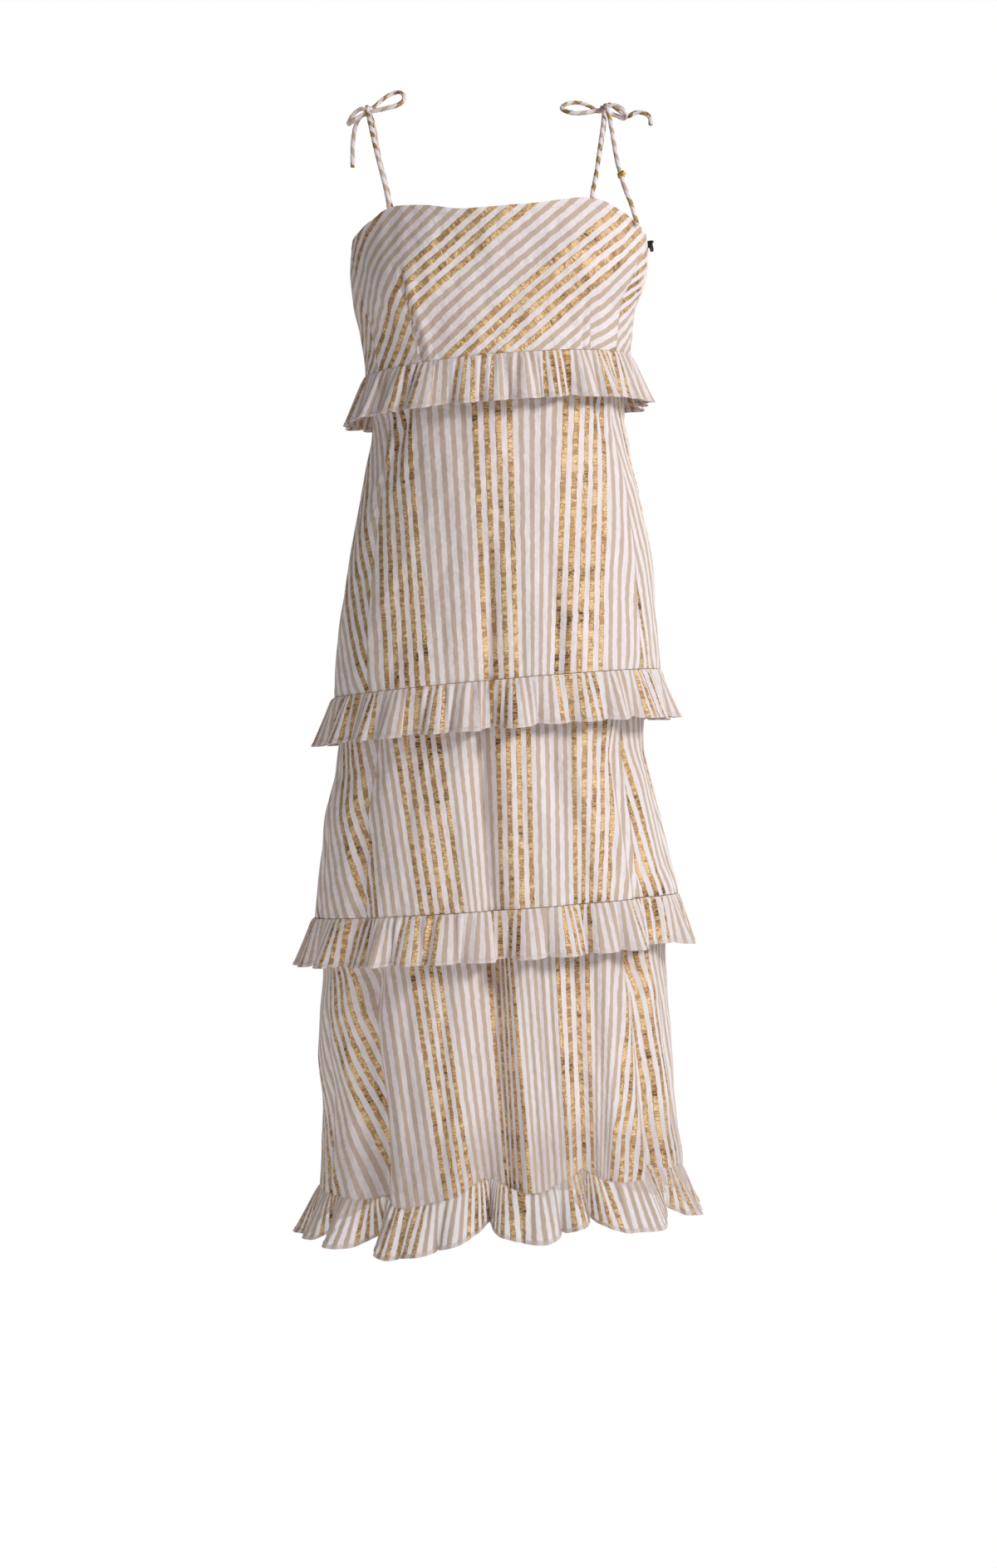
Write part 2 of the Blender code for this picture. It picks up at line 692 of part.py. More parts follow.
def box_mesh(name, low, high):
    """A closed box between two corners."""
    mesh = bpy.data.meshes.new(name)
    box = bmesh.new()
    bmesh.ops.create_cube(box, size=1.0)
    middle = 0.5 * (low + high)
    size = high - low
    for vert in box.verts:
        vert.co = Vector((vert.co.x * size.x, vert.co.y * size.y, vert.co.z * size.z)) + middle
    box.to_mesh(mesh)
    box.free()
    return mesh


def round_bar(name, radius, length, segments, turn):
    """A closed round bar about its own middle, turned from the Z axis by a matrix."""
    mesh = bpy.data.meshes.new(name)
    bar = bmesh.new()
    bmesh.ops.create_cone(bar, cap_ends=True, segments=segments, radius1=radius, radius2=radius,
                          depth=length, matrix=turn.to_4x4())
    bar.to_mesh(mesh)
    bar.free()
    return mesh


def guide_object(name, mesh, frame):
    """A hidden helper shape placed by a frame."""
    guide = bpy.data.objects.new(name, mesh)
    bpy.context.scene.collection.objects.link(guide)
    guide.parent = bpy.data.objects["dress"]
    guide.matrix_local = frame
    hide_guide(guide)
    return guide


def charm_piece(tail):
    """A gold ring round the tie end, with a ball on its front."""
    index = round(CHARM_PLACE * (len(tail) - 1))
    centre = tail[index]
    along = (tail[index + 1] - tail[index - 1]).normalized()
    turn = along.to_track_quat("Z", "Y").to_matrix()
    ring = round_bar("charm", CHARM_RING_RADIUS, CHARM_RING_HEIGHT, 16, Matrix.Identity(3))
    piece = add_object("charm", ring, GOLD_METAL)
    frame = Matrix.Translation(centre) @ turn.to_4x4()
    piece.matrix_local = frame
    front = turn.transposed() @ Vector((0.45, -0.89, 0.0))
    front.z = 0.0
    front.normalize()
    ball_mesh = bpy.data.meshes.new("charm_ball")
    ball = bmesh.new()
    bmesh.ops.create_icosphere(ball, subdivisions=2, radius=CHARM_BALL_RADIUS)
    ball.to_mesh(ball_mesh)
    ball.free()
    ball_frame = frame @ Matrix.Translation(front * (CHARM_RING_RADIUS + 0.5 * CHARM_BALL_RADIUS))
    add_boolean(piece, guide_object("charm_ball", ball_mesh, ball_frame), "UNION")
    bore = round_bar("charm_bore", TIE_RADIUS + SEAM_GAP, 3.0 * CHARM_RING_HEIGHT, 16, Matrix.Identity(3))
    add_boolean(piece, guide_object("charm_bore", bore, frame), "DIFFERENCE")
    return piece


def zip_frame():
    """Frame of the zip slider: X along the cloth, Y into it, Z up, just outside the cloth."""
    turned = math.radians(ZIP_TURN)
    reach = 0.5 * SLIDER_SIZE.x * math.sin(turned) + 0.5 * SLIDER_SIZE.y * math.cos(turned)
    centre = cloth_point(ZIP_AZIMUTH, ZIP_DROP, 0.5 * CLOTH + 2.0 * SEAM_GAP + reach)
    facing = math.radians(ZIP_AZIMUTH - ZIP_TURN)
    inward = Vector((-math.sin(facing), math.cos(facing), 0.0))
    side = inward.cross(Vector((0.0, 0.0, 1.0)))
    turn = Matrix((side, inward, Vector((0.0, 0.0, 1.0)))).transposed()
    return Matrix.Translation(centre) @ turn.to_4x4()


def zip_pieces():
    """The slider with its fork and pin, and the teardrop tab that hangs on the pin."""
    frame = zip_frame()
    half = 0.5 * SLIDER_SIZE
    slider = add_object("zip_slider", box_mesh("zip_slider", -half, half), DARK_ENAMEL)
    slider.matrix_local = frame
    across = Matrix.Rotation(math.radians(90.0), 3, "Y")
    pin_place = Vector((0.0, -half.y - TAB_BARREL_RADIUS - SEAM_GAP, 0.7 * half.z))
    pin_frame = frame @ Matrix.Translation(pin_place)
    inner = 0.5 * TAB_NECK + SEAM_GAP
    for side, name in ((-1.0, "left"), (1.0, "right")):
        near = side * inner
        far = side * (inner + CHEEK_THICKNESS)
        low = Vector((min(near, far), pin_place.y - 2.0 * PIN_RADIUS, pin_place.z - 2.0 * PIN_RADIUS))
        high = Vector((max(near, far), 0.0, pin_place.z + 2.0 * PIN_RADIUS))
        cheek = guide_object(f"zip_cheek_{name}", box_mesh(f"zip_cheek_{name}", low, high), frame)
        add_boolean(slider, cheek, "UNION")
    pin = round_bar("zip_pin", PIN_RADIUS, 2.0 * inner + CHEEK_THICKNESS, 12, across)
    add_boolean(slider, guide_object("zip_pin", pin, pin_frame), "UNION")
    barrel = round_bar("zip_pull", TAB_BARREL_RADIUS, TAB_NECK, 16, across)
    tab = add_object("zip_pull", barrel, DARK_ENAMEL)
    tab.matrix_local = pin_frame
    add_boolean(tab, guide_object("zip_plate", tab_plate(), pin_frame), "UNION")
    eye = round_bar("zip_eye", TAB_EYE_RADIUS, 2.0 * TAB_WIDTH, 12, across)
    add_boolean(tab, guide_object("zip_eye", eye, pin_frame), "DIFFERENCE")
    return slider, tab


def tab_outline():
    """Outline of the teardrop plate below its barrel, on the viewer's right from top to foot."""
    neck = 0.4 * TAB_NECK
    foot = 0.5 * TAB_WIDTH
    low = TAB_BARREL_RADIUS - TAB_LENGTH + foot
    outline = [(neck, 0.0)]
    outline.append((neck, -TAB_BARREL_RADIUS - SEAM_GAP))
    for step in range(7):
        turn = math.radians(30.0 - 120.0 * step / 6.0)
        outline.append((foot * math.cos(turn), low + foot * math.sin(turn)))
    return outline


def tab_plate():
    """The tab's flat teardrop plate, with the pin's axis at its origin."""
    mesh = bpy.data.meshes.new("zip_plate")
    plate = bmesh.new()
    right = tab_outline()
    left = [(-x, z) for x, z in reversed(right) if x > 1e-9]
    outline = right + left
    half = 0.5 * TAB_THICKNESS
    front = [plate.verts.new((x, -half, z)) for x, z in outline]
    back = [plate.verts.new((x, half, z)) for x, z in outline]
    plate.faces.new(front)
    plate.faces.new(list(reversed(back)))
    for index in range(len(outline)):
        after = (index + 1) % len(outline)
        plate.faces.new((front[index], back[index], back[after], front[after]))
    bmesh.ops.recalc_face_normals(plate, faces=plate.faces[:])
    plate.to_mesh(mesh)
    plate.free()
    return mesh


def main():
    for old in list(bpy.data.objects):
        bpy.data.objects.remove(old)
    frame = bpy.data.objects.new("dress", None)
    bpy.context.scene.collection.objects.link(frame)
    sides = ("front", "back")
    for side, word in enumerate(sides):
        tier_piece(f"bodice_{word}", side, top_edge, BUST_SEAM - SEAM_GAP, BODICE_ROWS)
        for tier in TIERS:
            tier_piece(f"{tier.name}_{word}", side, lambda at, top=tier.top: top + SEAM_GAP,
                       tier.low - SEAM_GAP, TIER_ROWS)
        for ruffle in RUFFLES:
            ruffle_piece(f"ruffle_{ruffle.name}_{word}", ruffle, side)
    routes = {}
    for name, route in TIE_ROUTES.items():
        knot = KNOT_LEFT if "left" in name else KNOT_RIGHT
        routes[name] = tie_piece(name, route, knot)
    bow_piece("bow_left", KNOT_LEFT)
    bow_piece("bow_right", KNOT_RIGHT)
    charm_piece(routes["tail_right_front"])
    zip_pieces()


main()
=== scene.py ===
"""Looks of a tie-strap ruffle midi dress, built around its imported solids.

Every cloth piece is a thin shell on the same worn form as its solid, with the finer creases and
gathers that the solid leaves out. Lengths are in metres and azimuths in degrees: 0 is the centre
front (-Y), 90 the viewer's right (+X) and 180 the centre back.
"""
from __future__ import annotations

import logging
import math
from dataclasses import dataclass, field
from enum import Enum
from typing import NamedTuple, Sequence

import bmesh
import bpy
import numpy as np
from mathutils import Matrix, Vector

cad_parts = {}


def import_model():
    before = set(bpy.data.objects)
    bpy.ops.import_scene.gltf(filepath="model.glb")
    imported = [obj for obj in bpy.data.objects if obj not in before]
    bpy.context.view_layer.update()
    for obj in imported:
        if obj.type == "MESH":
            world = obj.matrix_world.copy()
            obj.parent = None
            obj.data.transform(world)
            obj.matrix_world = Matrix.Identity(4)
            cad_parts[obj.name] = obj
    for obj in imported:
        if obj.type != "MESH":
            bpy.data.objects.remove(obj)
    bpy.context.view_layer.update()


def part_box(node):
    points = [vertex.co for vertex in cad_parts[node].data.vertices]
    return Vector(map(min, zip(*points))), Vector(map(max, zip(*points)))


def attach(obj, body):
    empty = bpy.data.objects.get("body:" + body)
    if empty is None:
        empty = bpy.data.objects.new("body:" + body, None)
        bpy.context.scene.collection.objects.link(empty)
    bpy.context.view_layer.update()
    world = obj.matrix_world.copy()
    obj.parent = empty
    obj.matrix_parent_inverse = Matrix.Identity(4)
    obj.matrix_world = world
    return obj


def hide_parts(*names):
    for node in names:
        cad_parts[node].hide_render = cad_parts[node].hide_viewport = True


LOG = logging.getLogger("dress")
Array = np.ndarray
Piece = bpy.types.Object
Material = bpy.types.Material
Node = bpy.types.Node
Tree = bpy.types.NodeTree
Socket = bpy.types.NodeSocket
Place = tuple[float, float, float]


class Side(Enum):
    """Which half of the dress a piece belongs to."""

    FRONT = "front"
    BACK = "back"


class Section(NamedTuple):
    """A horizontal section of the dress."""

    drop: float
    half_width: float
    front: float
    back: float
    shift: float
    tilt: float


class Fold(NamedTuple):
    """A large fold that runs down the cloth."""

    top: float
    low: float
    azimuth_top: float
    azimuth_low: float
    half_width: float
    depth_top: float
    depth_low: float
    lift: float


class Fullness(NamedTuple):
    """Rounded fullness that a dart gives the bodice."""

    azimuth: float
    drop: float
    half_width: float
    half_drop: float
    out: float


class Crease(NamedTuple):
    """A small crease from one place on the cloth to another, a ridge where its depth is negative."""

    azimuth: float
    drop: float
    azimuth_end: float
    drop_end: float
    width: float
    depth: float


class Dart(NamedTuple):
    """A bust dart, its tip, its foot, and the angle of cloth that it takes up."""

    azimuth: float
    drop: float
    azimuth_foot: float
    drop_foot: float
    angle: float
    side: int


class StripeLine(NamedTuple):
    """Where a stripe of the repeat passes on a front tier, in millimetres right of the middle."""

    number: float
    across_top: float
    across_low: float


class Gather(NamedTuple):
    """A gathered strip and its waves."""

    name: str
    above: str
    seam: float
    below: float
    base: float
    throw: float
    gathers: int
    phase: float
    stripe_shift: float
    tuck: float


class Flute(NamedTuple):
    """A ridge or valley of a gathered strip's lower edge, and how far it laps over its neighbour."""

    azimuth: float
    stand: float
    lap: float = 0.0


class Tier(NamedTuple):
    """A skirt tier between two seams, with the heights at which its front stripes are placed."""

    name: str
    above: str
    top: float
    low: float
    line_top: float
    line_low: float
    full_top: float
    full_low: float
    back_phase: float
    lines: tuple[StripeLine, ...]


class Lamp(NamedTuple):
    """A soft square light, its side in metres and its power in watts."""

    name: str
    place: Place
    size: float
    power: float
    tint: Place


BUST_SEAM = 0.2545
HIP_SEAM = 0.574
KNEE_SEAM = 0.797
HEM_SEAM = 1.066
RUFFLE_DEPTH = 0.050
SEAM_GAP = 0.0003
LAYER = 0.0015
CLOTH = 0.0005
HEM_FOLD = 0.0038
PITCH = 0.0116
STRIPE_START = 0.245
VIEW_DISTANCE = 3.0
STITCH_LIFT = 0.0004
BODY = "dress"
TAB_BODY = "pull_tab"
MM = 0.001

SECTIONS = tuple(Section(*row) for row in (
    (0.06, 0.142, 0.092, 0.098, 0, 0.035), (0.1, 0.146, 0.099, 0.104, 0, 0.035),
    (0.13, 0.1478, 0.104, 0.108, 0.0005, 0.04), (0.155, 0.1495, 0.107, 0.11, 0.001, 0.055),
    (0.183, 0.1462, 0.106, 0.109, 0, 0.065), (0.21, 0.1385, 0.103, 0.106, -0.001, 0.075),
    (0.235, 0.135, 0.101, 0.103, -0.0005, 0.082), (BUST_SEAM, 0.1335, 0.101, 0.103, -0.001, 0.085),
    (0.305, 0.127, 0.098, 0.099, 0, 0.086), (0.345, 0.132, 0.101, 0.105, 0, 0.087),
    (0.4, 0.144, 0.108, 0.115, 0, 0.088), (0.455, 0.1535, 0.116, 0.125, 0, 0.089),
    (0.51, 0.16, 0.123, 0.132, -0.002, 0.09), (HIP_SEAM, 0.164, 0.13, 0.137, -0.002, 0.09),
    (0.62, 0.1535, 0.127, 0.13, -0.006, 0.087), (0.648, 0.155, 0.129, 0.132, -0.008, 0.085),
    (0.689, 0.165, 0.134, 0.137, -0.009, 0.08), (0.727, 0.1712, 0.139, 0.142, -0.007, 0.076),
    (0.765, 0.1775, 0.144, 0.147, -0.005, 0.072), (KNEE_SEAM, 0.1825, 0.148, 0.151, -0.0025, 0.07),
    (0.845, 0.1725, 0.146, 0.148, -0.004, 0.071), (0.89, 0.1755, 0.15, 0.152, -0.005, 0.072),
    (0.93, 0.1768, 0.153, 0.155, -0.004, 0.073), (0.98, 0.177, 0.157, 0.158, 0, 0.075),
    (1.02, 0.179, 0.161, 0.162, 0.001, 0.077), (HEM_SEAM, 0.183, 0.166, 0.167, 0.002, 0.078),
))

FOLDS = tuple(Fold(*row) for row in (
    (0.3, 0.42, -45, -58, 8, 0.004, 0.001, 0), (0.4, 0.7, -5, -2, 9, 0.0005, 0.007, 0),
    (0.4, 0.69, 17, 25, 9, 0.0005, 0.006, 0), (0.6, 0.86, -49, -45, 10, 0.004, 0.01, 0),
    (0.66, 0.86, -2, 0, 10, 0.005, 0.01, 0), (0.66, 0.86, 25, 27, 9, 0.003, 0.007, 0),
    (0.6, 0.86, 57, 54, 9, 0.003, 0.009, 0), (0.86, 1.18, -45, -42, 13, 0.008, 0.027, 0.42),
    (0.86, 1.18, 0, -6, 12, 0.009, 0.033, 0.45), (0.86, 1.18, 28, 31, 9, 0.006, 0.023, 0.55),
    (0.86, 1.18, 54, 61, 9, 0.008, 0.018, 0.5), (0.42, 0.7, 128, 130, 12, 0.001, 0.008, 0),
    (0.42, 0.7, 172, 170, 12, 0.001, 0.009, 0), (0.42, 0.7, 216, 219, 12, 0.001, 0.008, 0),
    (0.66, 1.18, 116, 112, 12, 0.003, 0.026, 0.4), (0.66, 1.18, 145, 148, 13, 0.004, 0.029, 0.45),
    (0.66, 1.18, 186, 183, 13, 0.005, 0.031, 0.45), (0.66, 1.18, 224, 219, 12, 0.004, 0.027, 0.42),
    (0.66, 1.18, 252, 254, 12, 0.003, 0.024, 0.4),
))

BUST = (
    Fullness(-37.0, 0.178, 36.0, 0.075, 0.013), Fullness(37.0, 0.176, 36.0, 0.075, 0.013),
)

TOP_EDGE = (
    (-180, 0.15), (-120, 0.149), (-105, 0.146), (-97, 0.138), (-86, 0.124), (-72, 0.119), (-59, 0.11),
    (-51, 0.1035), (-45, 0.101), (-30, 0.104), (-13, 0.111), (11, 0.1085), (37, 0.1008), (43, 0.1018),
    (50, 0.1068), (62, 0.116), (72, 0.1215), (88, 0.132), (98, 0.141), (107, 0.1475), (125, 0.1495),
    (180, 0.15),
)

SIDE_SEAMS = (
    (0.1, -88, 90), (0.125, -86, 86), (0.165, -70, 67), (0.2, -66, 62), (BUST_SEAM, -62, 62),
    (0.4, -56, 62), (HIP_SEAM, -50, 60), (0.65, -48, 58), (KNEE_SEAM, -46, 54), (0.85, -45, 54),
    (HEM_SEAM, -41, 51), (1.15, -40, 50),
)

# How much lower the hem seam hangs at each azimuth, in millimetres
SCALLOPS = (
    (-90, 0), (-64, 1), (-46, 8), (-33, 12), (-23, 8), (-12, 1), (-6, -4), (4, 1), (11, 3), (18, -2),
    (25, -9), (35, 4), (42, 5), (51, 7), (59, 2), (75, 3), (96, 9), (113, -4), (130, 8), (147, -5),
    (165, 10), (184, -6), (203, 9), (221, -4), (237, 8), (254, -3), (270, 2),
)

# Small creases: on the front as the cloth shows them, and similar ones where it isn't seen
CREASES = tuple(Crease(*row) for row in (
    (-38.2, 0.16, -33, 0.266, 0.0026, 0.003), (-34.5, 0.175, -29.5, 0.262, 0.005, -0.0016),
    (37, 0.2, 39.5, 0.264, 0.0026, 0.0018), (33.5, 0.205, 36, 0.26, 0.005, -0.001),
    (-66, 0.15, -44, 0.215, 0.005, 0.0011), (-74, 0.172, -52, 0.232, 0.0045, 0.001),
    (60, 0.15, 46, 0.21, 0.005, 0.0009), (66, 0.185, 48, 0.238, 0.0045, 0.0009),
    (-8, 0.228, 12, 0.25, 0.004, 0.0008), (-46, 0.3, -62, 0.385, 0.005, 0.0024),
    (-38, 0.292, -50, 0.35, 0.006, -0.001), (47, 0.296, 58, 0.36, 0.005, 0.0018),
    (-21, 0.44, -17, 0.565, 0.007, 0.0012), (33, 0.47, 37, 0.57, 0.006, 0.0013),
    (8, 0.5, 9, 0.572, 0.005, 0.0012), (-36, 0.52, -39, 0.572, 0.005, 0.001),
    (-30, 0.615, -27, 0.79, 0.006, 0.0014), (10, 0.64, 12, 0.795, 0.005, 0.0016),
    (41, 0.62, 44, 0.79, 0.006, 0.0018), (-12, 0.69, -14, 0.795, 0.005, 0.0012),
    (1.5, 0.79, 4.5, 1.11, 0.0075, 0.009), (6, 0.81, 9.5, 1.11, 0.005, -0.003),
    (14, 0.81, 17, 1.11, 0.0045, 0.0032), (18, 0.81, 20.5, 1.11, 0.004, 0.0026),
    (34.5, 0.8, 37, 1.11, 0.0055, 0.0055), (-44, 0.86, -43, 1.11, 0.006, 0.005),
    (-3, 0.45, -1.2, 0.84, 0.006, 0.0055), (30, 0.6, 31.5, 0.84, 0.0055, 0.003),
    (21.5, 0.49, 23, 0.62, 0.006, 0.004), (51, 0.62, 50, 0.84, 0.006, 0.004),
    (-28, 0.85, -30, 1.06, 0.007, 0.0018), (-15, 0.83, -19, 1.064, 0.0055, 0.002),
    (11, 0.85, 12, 1.064, 0.006, 0.0022), (19, 0.9, 20, 1.064, 0.005, 0.0014),
    (42, 0.84, 45, 1.064, 0.006, 0.0018), (88, 0.3, 80, 0.42, 0.006, 0.0016),
    (100, 0.44, 104, 0.57, 0.007, 0.0014), (150, 0.43, 152, 0.572, 0.006, 0.0013),
    (195, 0.41, 192, 0.56, 0.007, 0.0015), (238, 0.46, 242, 0.57, 0.006, 0.0012),
    (270, 0.32, 262, 0.47, 0.006, 0.0018), (82, 0.64, 78, 0.792, 0.006, 0.0018),
    (131, 0.63, 128, 0.79, 0.006, 0.0013), (165, 0.66, 168, 0.795, 0.006, 0.0015),
    (204, 0.62, 200, 0.78, 0.006, 0.0014), (282, 0.63, 286, 0.792, 0.006, 0.002),
    (72, 0.84, 76, 1.06, 0.007, 0.0022), (92, 0.85, 90, 1.064, 0.006, 0.002),
    (129, 0.87, 130, 1.062, 0.006, 0.0018), (166, 0.85, 164, 1.064, 0.007, 0.002),
    (202, 0.86, 204, 1.064, 0.006, 0.0018), (237, 0.84, 235, 1.062, 0.006, 0.0021),
    (268, 0.85, 272, 1.064, 0.006, 0.002), (290, 0.86, 293, 1.064, 0.006, 0.0022),
    (140, 0.17, 128, 0.245, 0.0055, 0.0011), (205, 0.175, 214, 0.24, 0.0055, 0.001),
    (250, 0.16, 262, 0.235, 0.005, 0.0012), (100, 0.165, 88, 0.24, 0.005, 0.0011),
))

DARTS = (
    Dart(-37.0, 0.165, -32.0, 0.258, 20.0, -1), Dart(36.0, 0.2, 38.5, 0.258, 15.0, 1),
)

UPPER_LINES = tuple(StripeLine(*row) for row in (
    (-6, -166.3, -155.4), (0, -124.3, -112.6), (2, -108.4, -92.4), (4, -92.4, -71.4), (10, -24.4, -12.6),
    (13, 10.9, 18.5), (18, 68, 58), (20, 90.7, 81.5), (22, 108.4, 103.3), (28, 141.1, 151.2),
))

MIDDLE_LINES = tuple(StripeLine(*row) for row in (
    (-6, -151.2, -132.7), (0, -98.3, -77.3), (2, -76.4, -57.1), (4, -55.4, -36.1), (10, 0, 3.4),
    (13, 31.1, 34.4), (18, 76.4, 78), (20, 97.4, 93.2), (22, 118.4, 110.9), (28, 158.8, 153.7),
))

LOWER_LINES = tuple(StripeLine(*row) for row in (
    (4, -143.6, -110), (10, -85.7, -52.1), (11, -75.9, -42.5), (12, -66.5, -35.7), (13, -58.8, -27),
    (18, -9.2, 8.9), (19, -0.5, 12.3), (20, 5, 16.6), (21, 9.2, 22.7), (22, 13.9, 32.6), (28, 59.6, 71.4),
    (29, 69.3, 77.3), (30, 79.4, 86.9), (31, 89.9, 96.3), (36, 131.5, 112.6), (37, 140.7, 122.9),
    (38, 146.2, 134.1), (39, 150.4, 144.3), (42, 163, 168),
))

TIERS = (
    Tier("upper", "bodice", BUST_SEAM, HIP_SEAM, 0.308, 0.567, 1.00, 1.02, 0.020, UPPER_LINES),
    Tier("middle", "skirt_upper", HIP_SEAM, KNEE_SEAM, 0.664, 0.794, 1.00, 1.02, 0.055, MIDDLE_LINES),
    Tier("lower", "skirt_middle", KNEE_SEAM, HEM_SEAM, 0.861, 1.067, 1.02, 1.03, 0.090, LOWER_LINES),
)

GATHERS = (
    Gather("bust", "bodice", BUST_SEAM, SEAM_GAP, LAYER, 0.0150, 21, 0.6, 0.262, 0.0),
    Gather("hip", "skirt_upper", HIP_SEAM, SEAM_GAP, LAYER, 0.0140, 21, 2.1, 0.341, 0.0),
    Gather("knee", "skirt_middle", KNEE_SEAM, SEAM_GAP, LAYER, 0.0135, 22, 3.7, 0.336, 0.0),
    Gather("hem", "skirt_lower", HEM_SEAM, 0.0007, 0.0, 0.0170, 22, 5.2, 0.387, 0.0024),
)

# Ridges and valleys on the front, in millimetres from the strip's mean line
FRONT_FLUTES = {
    "bust": (
        (-59, 5.5), (-53, -3), (-46.5, 4.5), (-39, -2), (-32, 5.5), (-27, 1, 4.6), (-19, -4.5),
        (-12.5, 1.5), (-7, -2.5), (-1, 2), (4.5, -2.5), (10.5, 4), (17, -1.5), (23, 2, 3.4), (30, -5.5),
        (38, 3), (43, -2.5), (49.5, 5, 3.6), (56.5, -3.5),
    ),
    "hip": (
        (-47.5, 4), (-42, -3), (-36.5, 3.5), (-32, 0, 3.6), (-26, -3.5), (-20, 2.5), (-15, -1.5),
        (-10, 3.5), (-5.5, 2.5, 4.4), (-1, -5), (6, 5.5), (13, -4), (19.5, 1), (25, -2), (31, 2), (38, -2),
        (44, 3, 3.2), (50, -4), (56, 3),
    ),
    "knee": (
        (-43, 3.5), (-40, -2.5), (-36, 5, 3), (-31.5, -3.5), (-27, 2.5), (-21, -1), (-16, 3), (-10, -2),
        (-5, 3.5), (-1, 1.5, 4.2), (4, -4), (9.5, 3), (15, -2.5), (21, 4), (27, -3.5, 3.2), (33, 2),
        (39, -2.5), (45, 4), (50.5, -3),
    ),
    "hem": (
        (-44.5, -7), (-39.5, 2.5), (-34.5, 5), (-29, 1.5), (-23.5, 5.5), (-18, -1), (-12.5, 3.5),
        (-8, 0.5), (-3.5, -6.5, 3), (1.5, 5.5), (6.5, 0.5), (11.5, 4.5), (17.5, -1.5), (22.5, 3.5),
        (28, -6.5, 3), (33.5, 5), (39, 1.5), (44, 3),
    ),
}

# The rest of the way round, by share of the back's width
BACK_FLUTES = (
    (0.02, 3.5), (0.048, -3), (0.078, 4.5, 3.4), (0.11, -2.5), (0.139, 2), (0.166, -4), (0.201, 5.5),
    (0.232, -1.5, 3.8), (0.262, 2.5), (0.292, -3.5), (0.327, 4), (0.358, -2), (0.384, 2, 3.2),
    (0.418, -4.5), (0.449, 5), (0.483, -3), (0.512, 3), (0.541, -1.5, 4), (0.574, 4.5), (0.606, -4),
    (0.638, 2.5), (0.665, -2.5), (0.697, 5, 3.6), (0.731, -3.5), (0.76, 2), (0.79, -3), (0.822, 4.5),
    (0.853, -2, 3.4), (0.884, 3), (0.914, -4.5), (0.947, 4), (0.975, -2.5),
)

TIE_RADIUS = 0.00225
KNOT_RADIUS = 0.0052
KNOTS = {"left": Vector((-0.1317, -0.004, 0.0035)), "right": Vector((0.1067, -0.004, 0.0045))}
# Azimuth at which each strap is sewn to the top edge
TIE_ROOTS = {"strap_front_left": -48.0, "strap_back_left": -136.0, "strap_front_right": 39.5,
             "strap_back_right": 142.5}
ROOT_RAISE = 0.00055
ROOT_LEAD = 0.0070

TIE_ROUTES = {
    "strap_front_left": (
        (-0.1306, -0.016, -0.003), (-0.1275, -0.032, -0.019), (-0.1205, -0.052, -0.05),
        (-0.113, -0.0635, -0.08),
    ),
    "strap_back_left": (
        (-0.13, 0.015, 0), (-0.1275, 0.029, -0.009), (-0.121, 0.054, -0.039), (-0.112, 0.0725, -0.085),
    ),
    "strap_front_right": (
        (0.106, -0.015, -0.0045), (0.1045, -0.0315, -0.017), (0.1005, -0.054, -0.045),
        (0.0962, -0.069, -0.076),
    ),
    "strap_back_right": (
        (0.1078, 0.015, 0), (0.107, 0.029, -0.009), (0.102, 0.054, -0.039), (0.0943, 0.076, -0.085),
    ),
    "tail_left_inner": (
        (-0.133, 0.0075, 0.011), (-0.131, 0.019, 0.008), (-0.127, 0.0335, -0.005), (-0.123, 0.054, -0.029),
        (-0.1165, 0.069, -0.054), (-0.111, 0.0775, -0.078), (-0.106, 0.082, -0.096),
    ),
    "tail_left_outer": (
        (-0.14, 0.001, -0.0005), (-0.1445, 0.008, -0.007), (-0.1475, 0.015, -0.019),
        (-0.1485, 0.02, -0.034), (-0.1485, 0.023, -0.047),
    ),
    "tail_right_side": (
        (0.112, 0.003, 0.0125), (0.118, 0.008, 0.011), (0.125, 0.01, 0.006), (0.131, 0.01, 0.0022),
        (0.137, 0.0095, 0.005), (0.143, 0.0085, 0.006), (0.1505, 0.0065, 0.0034),
        (0.1537, 0.0045, -0.0018), (0.154, 0.003, -0.008),
    ),
    "tail_right_front": (
        (0.1076, -0.0148, 0.0076), (0.1096, -0.0218, 0.0024), (0.1115, -0.0255, -0.008),
        (0.1137, -0.032, -0.023), (0.1163, -0.0415, -0.043), (0.1183, -0.048, -0.0565),
        (0.1218, -0.052, -0.0705), (0.1255, -0.053, -0.083), (0.132, -0.051, -0.099),
        (0.1361, -0.0462, -0.111), (0.1389, -0.0421, -0.118),
    ),
}

